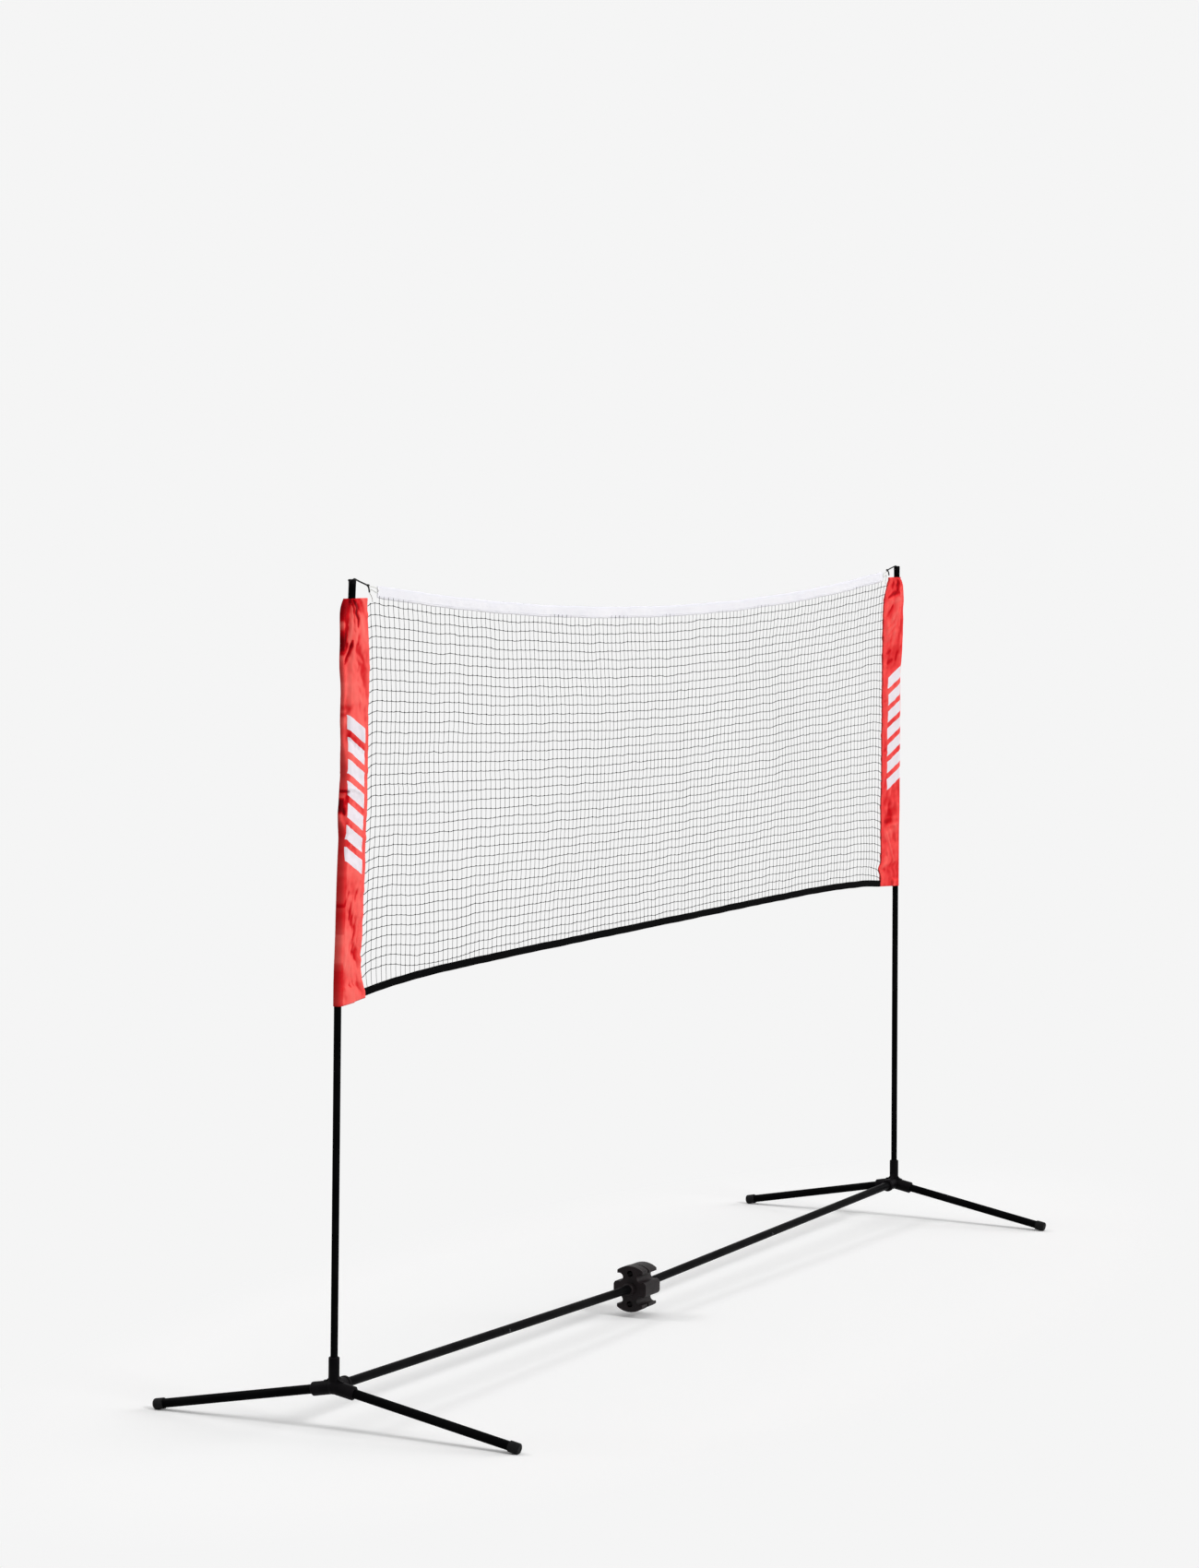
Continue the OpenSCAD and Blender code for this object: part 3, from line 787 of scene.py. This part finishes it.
def addTapes():
    half = net["tapeHalf"]
    x = np.linspace(-half, half, topTape["stations"])
    tape = sweepAlongX("top_ribbon", x, tapeOutline, "white_tape")
    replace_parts(tape, "top_tape")
    # a row of lockstitch near the lower edge of each leaf
    pitch, up = topTape["stitch"], topTape["stitchUp"]
    count = int(2 * half / pitch) - 4
    at = (np.arange(count) - count / 2) * pitch
    for name, sign in (("top_stitches_near", -1), ("top_stitches_far", 1)):
        ends = []
        for x in (at, at + pitch):
            ring = tapeOutline(x)
            leaf = ring[:, :6] if sign < 0 else ring[:, 20:14:-1]
            y = mix(leaf[:, 1, 0], leaf[:, 2, 0], (up - 3 * mm) / (4 * mm))
            ends.append(np.stack([x, y, leaf[:, 0, 1] + up], -1))
        outward = np.tile([0.0, sign, 0.0], (count, 1))
        stitchRow(name, *ends, outward, "white_tape", whiteThread)
    left, right = net["edges"]
    x = np.linspace(-left - webbing["tail"], right + webbing["tail"], webbing["stations"])
    strap = sweepAlongX("bottom_strap", x, webbingOutline, "black_webbing")
    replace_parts(strap, "bottom_tape")


addTapes()
print("tapes sewn")


posts = {
    "foot": 1.38,  # from the middle
    "hub": 0.084,  # height from which the posts lean
    "top": 1.6,
    "joint": 0.765,  # along the post from the hub
    "lowerLean": (0.15, 1.95),  # degrees towards the net, left and right
    "upperLean": (3.15, 1.95),
    "radius": 7 * mm,
}
sleeve = {
    "tops": (1.564, 1.573),
    "hem": (0.803, 0.820),  # left and right
    "hemRise": 0.05,  # the hem climbs towards the net, per metre
    # outer edge of the left and right sleeve: heights and distances from the middle
    "outline": (((0.80, 0.98, 1.06, 1.13, 1.17, 1.22, 1.31, 1.42, 1.57),
                 (1.383, 1.380, 1.376, 1.371, 1.387, 1.366, 1.373, 1.375, 1.379)),
                ((0.82, 0.95, 1.04, 1.09, 1.18, 1.34, 1.43, 1.52, 1.58),
                 (1.360, 1.358, 1.360, 1.357, 1.356, 1.357, 1.366, 1.366, 1.371))),
    "seamHalf": 0.95 * mm,
    "overPost": 7.9 * mm,  # half thickness of the cloth over the post
    "round": 7.9 * mm,  # where it lies tight round the post
    "edge": 4.2 * mm,  # radius of the outer fold where it hangs free
    "hang": 2.4 * mm,  # half thickness of the free cloth beyond the post
    "cloth": 0.6 * mm,
    "levels": 320,
    "panel": 48,  # grid columns over each face
    "roll": 12,  # grid columns round the outer end
    "wrapShade": (0.33, 0.1),  # how deep the painted shade is where the cloth wraps round the post, left and right
    "flat": ((0.222, 0.786), (0.222, 0.770)),  # the cloth before it is sewn, left and right
    "stitchUp": 9 * mm,  # rows of stitches this far from the hem and the top
    "mouth": 8.5 * mm,  # half opening of the hem, wide enough for the post's cap
    "slidUp": 0.78,  # how far the net slides up
    "gather": ((15 * mm, 0.014), (26 * mm, 0.016)),  # at the top: how far and over what height
    "waver": 1.6 * mm,  # of the slack outer edge
    "sway": 1.4 * mm,  # of the free cloth beyond the post
    # depths of the loose folds
    "broad": 1.1 * mm,
    "ridged": 1.3 * mm,
    "fine": (0.3 * mm, 0.4 * mm),
    "puckers": 1.0 * mm,
    "shine": ((3.2 * mm, 0.4), (5 * mm, 0.25)),  # fold height at which the painted highlight is full, and the deepest painted shade
    "seenAside": (-1.76, 2.42),  # how far the folds' places shift with the cloth's height
    "seeds": (100, 150),
}
# Main folds of the left and right sleeve in millimetres: half width, depth, and the course as
# pairs of distance from the net and distance below the top; a positive depth also paints shade into
# the valley, a negative depth is a ridge with a painted highlight
mainFolds = (
    ((11.5, 4.8, 66, 2, 77, 18, 78, 34, 77, 44), (6.5, 4.5, 77, 36, 78, 52, 83, 68, 88, 80, 92, 96),
     (4.5, 5, 97, 10, 93, 20, 94, 32), (4, -3, 98, 36, 94, 50, 97, 66),
     (4, -2, 58, 30, 60, 50, 68, 72, 77, 92),
     (4.5, 4.2, 51, 3, 40, 13, 36, 18, 42, 28, 33, 38, 38, 52), (3, 3.5, 58, 8, 50, 20, 51, 44),
     (2.5, 3, 50, 44, 53, 55, 48, 62), (3, 4, 59, 78, 70, 90, 84, 110, 92, 122),
     (3, 3, 80, 84, 93, 104), (5, -2, 40, 60, 50, 85, 60, 110), (6, -1.5, 18, 30, 22, 70),
     (3, 2, 30, 60, 38, 85), (3.3, 4.2, 62, 80, 62, 88, 76, 101, 91, 116), (3, 3, 81, 82, 94, 101),
     (9, 1.8, 92, 120, 90, 151), (5, -1.2, 56, 100, 24, 120), (5, -1.2, 74, 118, 58, 139),
     (3.5, 2.5, 39, 167, 32, 177), (3, 3, 35, 193, 33, 206), (6, 2.2, 98, 202, 69, 205, 87, 217),
     (9, 1.8, 14, 205, 16, 234), (6, 4.5, 98, 222, 97, 258), (4, 4, 101, 252, 97, 271),
     (3, -3, 96, 256, 94, 269), (6, 4.5, 93, 274, 93, 300), (5, -2.5, 97, 302, 94, 331),
     (6, 4.5, 94, 335, 93, 357), (3, 3.5, 84, 358, 60, 360, 24, 369),
     (6.5, 4.8, 94, 369, 96, 391, 84, 400), (2.5, -3, 106, 369, 106, 398),
     (9, 1.5, 89, 471, 83, 514), (6, 3, 83, 527, 83, 565), (3, 2, 54, 549, 70, 574),
     (4, 1.8, 15, 532, 30, 564, 43, 615), (12, 1.5, 28, 578, 27, 597), (14, 1.6, 31, 665, 37, 690),
     (5, -1.5, 43, 615, 58, 665), (4, -1.5, 70, 629, 62, 687), (3, 1.8, 26, 644, 48, 702),
     (2.5, 2, 49, 715, 49, 728), (2.5, 2, 37, 715, 37, 728), (5, 2.4, 88, 420, 84, 520),
     (5, 2.4, 84, 560, 80, 700), (3, 2.2, 22, 590, 34, 640), (3, 2, 40, 560, 52, 600),
     (4, -1.4, 24, 560, 36, 600), (4, -1.4, 18, 620, 30, 660), (3, 2, 14, 600, 20, 640),
     (4, -1.4, 44, 680, 52, 720)),
    ((6, 4, 24, 48, 48, 40, 86, 37), (7, 4, 59, 11, 74, 32), (6, 3, 32, 13, 37, 26),
     (4.5, 2.6, 27, 93, 44, 80, 59, 67), (4, 2.4, 21, 123, 51, 115, 103, 74),
     (4, 2.6, 27, 141, 57, 128, 81, 117), (5, 3, 24, 184, 51, 176), (6, 2.6, 28, 208, 61, 199),
     (6, 2.4, 82, 200, 93, 184, 113, 168), (9, -2, 50, 60, 90, 52), (8, -1.5, 60, 100, 85, 85),
     (12, -2, 60, 160, 95, 130), (4, 2.5, 10, 300, 80, 288), (5, 2.5, 12, 420, 62, 408),
     (13, 2.2, 23, 545, 56, 548), (13, 2.2, 30, 570, 105, 570), (8, 2.8, 25, 592, 100, 590),
     (6, 2.6, 50, 607, 75, 607), (8, 2, 12, 640, 25, 640), (5, -1.6, 31, 618, 80, 690),
     (9, 2, 14, 664, 30, 672), (12, 1.8, 70, 700, 95, 700), (7, 2.6, 22, 706, 34, 708),
     (9, 1.5, 60, 610, 88, 640)),
)


def postAt(z, side):
    low, high = (math.radians(posts[k][side]) for k in ("lowerLean", "upperLean"))
    jointZ = posts["hub"] + posts["joint"] * math.cos(low)
    jointX = posts["foot"] - posts["joint"] * math.sin(low)
    below = posts["foot"] - (z - posts["hub"]) * math.tan(low)
    return np.where(z < jointZ, below, jointX - (z - jointZ) * math.tan(high))


def laidFolds(across, down, side):
    # height of the main folds and their painted shade and highlight; each has its crest on the
    # right and its valley left
    height, valley, ridge = 0 * across, 0 * across, 0 * across
    for width, depth, *course in mainFolds[side]:
        stops = np.array(course).reshape(-1, 2) * mm
        longs = np.linalg.norm(np.diff(stops, axis=0), axis=1)
        passed = np.concatenate([[0], np.cumsum(longs)]) / longs.sum()
        away, signed, place = 0 * across + 1, 0 * across, 0 * across
        for k, (dx, dy) in enumerate(np.diff(stops, axis=0)):
            gapX, gapY = across - stops[k, 0], down - stops[k, 1]
            along = np.clip((gapX * dx + gapY * dy) / longs[k] ** 2, 0, 1)
            gapX, gapY = gapX - along * dx, gapY - along * dy
            gap = np.hypot(gapX, gapY)
            right = (-1, 1)[side] * np.sign(dy or 1)
            onRight = gap * np.sign(gapX * dy - gapY * dx) * right
            signed = np.where(gap < away, onRight, signed)
            place = np.where(gap < away, mix(passed[k], passed[k + 1], along), place)
            away = np.minimum(gap, away)
        # a fold tapers to both of its ends
        wide = width * mm * (0.5 + 0.6 * np.sqrt(np.sin(math.pi * np.clip(place, 0.01, 0.99))))
        well = fade(away, wide, 2.6)
        crest = bump(signed, 1.5 * wide, 1.1 * wide)
        # a negative depth paints a highlight along the ridge, a positive one paints shade into the
        # valley, lighter on the right sleeve
        if depth < 0:
            height = np.maximum(height, -0.6 * depth * mm * well)
            ridge = np.minimum(ridge, depth / 5 * well)
        else:
            height = height + 0.55 * depth * mm * (0.75 * crest - well)
            valley = np.maximum(valley, (1, 0.8)[side] * (depth / 5) ** 1.4 * well)
    return height, valley + ridge


def looseFolds(across, down, side, seed):
    # softer folds between the main ones, and the puckers along the seam
    s = sleeve
    bent = across + 0.012 * ripple(across, down, seed + 5, 0.08, 0.24)
    broad = s["broad"] * ripple(bent, down, seed, 0.05, 0.14, 10, 0.45, 0.8)
    slanted = ripple(bent, down, seed + 1, 0.045, 0.1, 4, 0.45, 0.35)
    ridged = s["ridged"] * (0.6 - np.minimum(1, np.abs(slanted)) ** 1.2)
    patchy = np.clip(0.5 + 0.7 * ripple(down, across, seed + 6, 0.1, 0.35, 6), 0, 1.3)
    fine = s["fine"][side] * ripple(across, down, seed + 3, 0.015, 0.035, 10)
    puckers = s["puckers"] * ripple(down, across, seed + 4, 0.018, 0.06, 8, 0, 0.2)
    return broad + ridged * patchy + fine, puckers * fade(across, 0.014)


def sleeveCourse(a, z, outerAt, side):
    # smooth half thickness: flat at the seam, over the post, then slack to the outer fold
    s = sleeve
    seam = seamAt(z, side)
    pole = postAt(z, side)
    slack = np.clip((outerAt - pole - 0.010) / 0.014, 0, 1)
    roll = mix(s["round"], s["edge"], slack)
    rise = np.clip((a - seam) / (pole - 0.004 - seam), 0, 1)
    tent = mix(s["seamHalf"], s["overPost"], rise ** 1.3)
    fall = ease((a - pole - 0.002) / 0.013)
    out = ease((a - pole - 0.016) / np.maximum(outerAt - pole - 0.020, 0.002))
    free = mix(s["overPost"], mix(s["hang"], roll, out), fall)
    tight = mix(s["overPost"], roll, ease((a - pole) / 0.005))
    return np.where(a < pole, tent, mix(tight, free, slack)), roll, slack


def sleeveEdges(z, side):
    # distances of the outer fold and of the sewn edge from the middle
    s = sleeve
    down = s["tops"][side] - z
    most, over = s["gather"][side]
    gather = most * fade(down, over, 1.2)
    # averaged over 4 cm, so that the outline has no corners
    course = np.mean([np.interp(z + step, *s["outline"][side])
                      for step in np.linspace(-0.02, 0.02, 7)], 0)
    pole = postAt(z, side)
    free = np.clip((course - pole - 0.012) / 0.02, 0, 1)
    loose = s["waver"] * waver(down, s["seeds"][side] + 7, 0.03, 0.12, 8) * free
    return np.maximum(course - gather + loose, pole + s["round"]), seamAt(z, side)


def sleeveFace(side, sign):
    # the near face (sign -1) or far face, from the seam to the outer fold, as grids of
    # distance from the middle, depth, height, painted shade and highlight, and metres of cloth from
    # the seam
    s = sleeve
    seed = s["seeds"][side]
    top, hem = s["tops"][side], s["hem"][side]
    share = np.linspace(0, 1, s["levels"])[:, None]
    t = np.linspace(0, 1, s["panel"])[None] ** 0.9
    outerAt, sewnAt = sleeveEdges(mix(hem, top, share), side)
    a = mix(sewnAt, outerAt - s["edge"], t)
    z = mix(hem + s["hemRise"] * (outerAt - a), top, share)
    outerAt, sewnAt = sleeveEdges(z, side)
    roll = sleeveCourse(a, z, outerAt, side)[1]
    a = mix(sewnAt, outerAt - roll, t)
    course, roll, slack = sleeveCourse(a, z, outerAt, side)
    across, down = a - sewnAt, top - z
    # the near face's folds are laid out as they are seen from the front left
    seen = across + (s["seenAside"][side] * course if sign < 0 else 0)
    laid, valley = laidFolds(seen, down + (0 if sign < 0 else 0.03), side)
    loose, puckers = looseFolds(across, down, side, seed + (20 if sign > 0 else 0))
    pole = postAt(z, side)
    body = ease(across / 0.024) * (1 - 0.8 * ease((a - outerAt + roll + 0.008) / 0.008))
    hems = ease(down / 0.010) * ease((z - hem) / 0.02)
    height = laid * body + loose * body * (1 - 0.5 * bump(a, pole, 0.006))
    height = height * mix(0.35, 1, hems) + puckers
    beyond = ease((a - pole - 0.006) / 0.02) * slack
    sway = s["sway"] * ripple(down, across, seed + 8, 0.08, 0.3, 8, 0, 0.5) * beyond
    half = course + height * mix(1, 0.55, beyond)
    # the cloth keeps clear of the post
    off = np.clip(np.abs(a - pole) / posts["radius"], 0, 1)
    keep = (posts["radius"] + 0.75 * mm) * np.sqrt(1 - off ** 2) + 0.2 * mm
    # the hem stays open enough for the post's top once the net has slid up
    raised = postAt(z + s["slidUp"], side)
    mouthAt = ease((posts["top"] - s["slidUp"] + 0.032 - z) / 0.02)
    room = s["mouth"] * mouthAt * ease((a - raised + 0.016) / 0.009) * (a < pole)
    half = np.maximum(np.maximum(half, keep), np.maximum(room, s["seamHalf"]))
    # painted shade of the cloth, deep in the valleys and where it wraps tightly round the post, and
    # painted highlight on the crests of the loose folds
    wrap = s["wrapShade"][side] * ease((a - pole + 0.007) / 0.005) * (1 - slack)
    full, deepest = s["shine"][side]
    shine = np.clip(-loose / full, -0.45, deepest) * body
    return a, sign * half + sway, z, np.clip(valley + wrap + shine, -1, 1), across


def sleevePoints(side):
    # grids of the cloth's outer face: from the seam over the near face, round, and back
    near, far = (sleeveFace(side, sign) for sign in (-1, 1))
    # the outer fold joins the two faces with a half circle
    turn = np.linspace(0, math.pi, sleeve["roll"] + 2)[None, 1:-1]
    edge, yNear, edgeZ, shade, across = (part[:, -1:] for part in near)
    yFar = far[1][:, -1:]
    reach = sleeveEdges(edgeZ, side)[0] - edge
    ends = (edge + reach * np.sin(turn), (yNear + yFar) / 2 + (yNear - yFar) / 2 * np.cos(turn),
            edgeZ + 0 * turn, shade + 0 * turn, across + reach * turn / math.pi)
    return [np.concatenate([n, e, f[:, ::-1]], 1) for n, e, f in zip(near, ends, far)]


def addSleeve(side, end, grid):
    x, y, z, depth, across = grid
    points = np.stack([x * (-1, 1)[side], y, z], -1).reshape(-1, 3)
    faces = gridFaces(*x.shape)
    uv = gridUv(*(np.concatenate([part, part[:, :1]], 1) for part in (across, z)))
    if side == 1:
        faces, uv = faces[:, ::-1], uv[:, ::-1]
    piece = addPiece("satin_sleeve_" + end, points, faces, "red_satin", satins[side],
                     uv.reshape(-1, 2))
    # each point's painted shade and highlight, which the satin reads
    shade = piece.data.attributes.new("paintedFoldShading", "FLOAT", "POINT")
    shade.data.foreach_set("value", depth.astype(np.float32).ravel())
    solid = piece.modifiers.new("clothThickness", "SOLIDIFY")
    solid.thickness = sleeve["cloth"]
    solid.offset = -1
    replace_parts(piece, "sleeve_" + end)


def addSleeveStitches(side, end, grid):
    # lockstitch round the hem and the top edge, and along the seam, on both faces
    s = sleeve
    grid = np.stack(grid[:3], -1) * ((-1, 1)[side], 1, 1)
    rows, columns = grid.shape[:2]
    pitch = (s["tops"][side] - s["hem"][side]) / (rows - 1)
    hem = round(s["stitchUp"] / pitch)
    starts, ends, outward = [], [], []

    def stitch(row, column, down, along, sign):
        starts.append(grid[row, column])
        ends.append(grid[row + down, column + along])
        outward.append((0, sign, 0))

    for row in (hem, rows - 1 - hem):
        for sign, first in ((-1, 2), (1, columns - s["panel"] + 2)):
            for column in range(first, first + s["panel"] - 6, 2):
                stitch(row, column, 0, 2, sign)
    for sign, column in ((-1, 2), (1, columns - 3)):
        for row in range(2, rows - 4, 2):
            stitch(row, column, 2, 0, sign)
    stitchRow("sleeve_stitches_" + end, starts, ends, outward, "red_satin", redThread)


ends = ("left", "right")
for side, end in enumerate(ends):
    grid = sleevePoints(side)
    addSleeve(side, end, grid)
    addSleeveStitches(side, end, grid)
print("sleeves sewn")


snapLeaf = {
    "cuts": 24,
    "button": -4.1 * mm,  # the arm bends between the tube's middle and this place
}


def addSnapSpring(end):
    # the strip is cut finely along its length; on the real part its front arm bends with the button
    node = nodes["snap_spring_" + end]
    strip = bmesh.new()
    strip.from_mesh(node.data)
    xs = [v.co.x for v in strip.verts]
    for x in np.linspace(min(xs), max(xs), snapLeaf["cuts"] + 2)[1:-1]:
        bmesh.ops.bisect_plane(strip, geom=strip.verts[:] + strip.edges[:] + strip.faces[:],
                               plane_co=(x, 0, 0), plane_no=(1, 0, 0))
    mesh = bpy.data.meshes.new("snap_leaf_" + end)
    strip.to_mesh(mesh)
    strip.free()
    piece = addObject("snap_leaf_" + end, mesh, "spring_steel", body=None)
    piece.matrix_world = node.matrix_world
    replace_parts(piece, "snap_spring_" + end)
    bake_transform(piece)


for end in ends:
    addSnapSpring(end)
print("snap springs cut")


headline = {
    "slotUnder": 2.6 * mm,  # the cord lies this far below the post's top
    # points out from the post's axis and above the slot's floor, over the cap's inner rim
    "behind": ((11 * mm, 0.0), (5.6 * mm, 0.4 * mm), (-3 * mm, 1.8 * mm), (-8.4 * mm, 2.8 * mm)),
    # then straight to the knot at the net's corner, left and right
    "inner": (((1.312, 1.5957), (1.294, 1.5913), (1.2775, 1.5872)),
              ((1.302, 1.5972), (1.284, 1.5940), (1.2680, 1.5905))),
    # its tail hangs from the knot: offsets in mm
    "tail": ((0, 0, 0), (1.6, -2.4, -3.9), (2.0, -3.6, -8.7), (1.6, -4.0, -12.7)),
    "thick": 3.0 * mm,
    "knot": 3.5 * mm,
    "lacing": [(1.2700, 0.0012, 1.5850), (1.2640, 0.0016, 1.5852), (1.2560, 0.0010, 1.5842),
               (1.2480, 0.0002, 1.5826), (1.2420, -0.0008, 1.5800),
               (1.2402, -0.0016, 1.5765), (1.2432, -0.0016, 1.5735),
               (1.2490, -0.0010, 1.5740), (1.2560, -0.0002, 1.5768),
               (1.2625, 0.0008, 1.5790), (1.2672, 0.0016, 1.5770),
               (1.2668, 0.0020, 1.5725), (1.2625, 0.0014, 1.5680),
               (1.2596, 0.0006, 1.5620), (1.2592, 0.0000, 1.5560)],
    "lacingThick": 1.5 * mm,
}


def smoothLine(points, steps):
    # Catmull-Rom curve through given points
    p = np.array(points, float)
    p = np.concatenate([[2 * p[0] - p[1]], p, [2 * p[-1] - p[-2]]])
    out = []
    for k in range(1, len(p) - 2):
        t = np.linspace(0, 1, steps, endpoint=False)[:, None]
        a, b, c, d = p[k - 1], p[k], p[k + 1], p[k + 2]
        out.append(0.5 * (2 * b + (c - a) * t + (2 * a - 5 * b + 4 * c - d) * t ** 2
                          + (3 * b - a - 3 * c + d) * t ** 3))
    return np.concatenate([*out, p[-2:-1]])


def addCurve(name, line, radius, slotName="black_cord", material=None, closed=False):
    data = bpy.data.curves.new(name, "CURVE")
    data.dimensions = "3D"
    data.bevel_depth = radius
    data.bevel_resolution = 3
    data.use_fill_caps = not closed
    spline = data.splines.new("POLY")
    spline.points.add(len(line) - 1)
    spline.use_cyclic_u = closed
    for point, place in zip(spline.points, line):
        point.co = (*place, 1)
    return addObject(name, data, slotName, material)


def addKnot(name, place):
    # an overhand knot pulled tight: three fat loops wound round each other
    size = headline["knot"]
    t = np.linspace(0, 2 * math.pi, 48, endpoint=False)
    loop = np.stack([-np.sin(3 * t) * 0.5, (np.sin(t) + 2 * np.sin(2 * t)) * 0.62,
                     (np.cos(t) - 2 * np.cos(2 * t)) * 0.62], -1) / 3
    return addCurve(name, loop * size + np.array(place), size * 0.36, closed=True)


def addHeadline(side, end):
    h = headline
    mirror = (-1, 1)[side]
    capAt = float(postAt(posts["top"], side))
    level = posts["top"] - h["slotUnder"]
    route = [(capAt + out, level + up) for out, up in h["behind"]] + list(h["inner"][side])
    route = [(x * mirror, 0, z) for x, z in route]
    line = smoothLine(route, 6)
    cord = addCurve("headline_cord_" + end, line, h["thick"] / 2)
    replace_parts(cord, "headline_" + end)
    knots = [addKnot("knot_outer_" + end, route[0]), addKnot("knot_inner_" + end, route[-1])]
    tail = smoothLine([np.array(route[-1]) + (x * mirror * mm, y * mm, z * mm)
                       for x, y, z in h["tail"]], 5)
    knots.append(addCurve("headline_tail_" + end, tail, h["thick"] / 2))
    line = smoothLine([route[-1]] + [(x * mirror, y, z) for x, y, z in h["lacing"][side:]], 5)
    lacing = addCurve("corner_lacing_" + end, line, h["lacingThick"] / 2, "white_tape", whiteBraid)


for side, end in enumerate(ends):
    addHeadline(side, end)
print("headline tied")
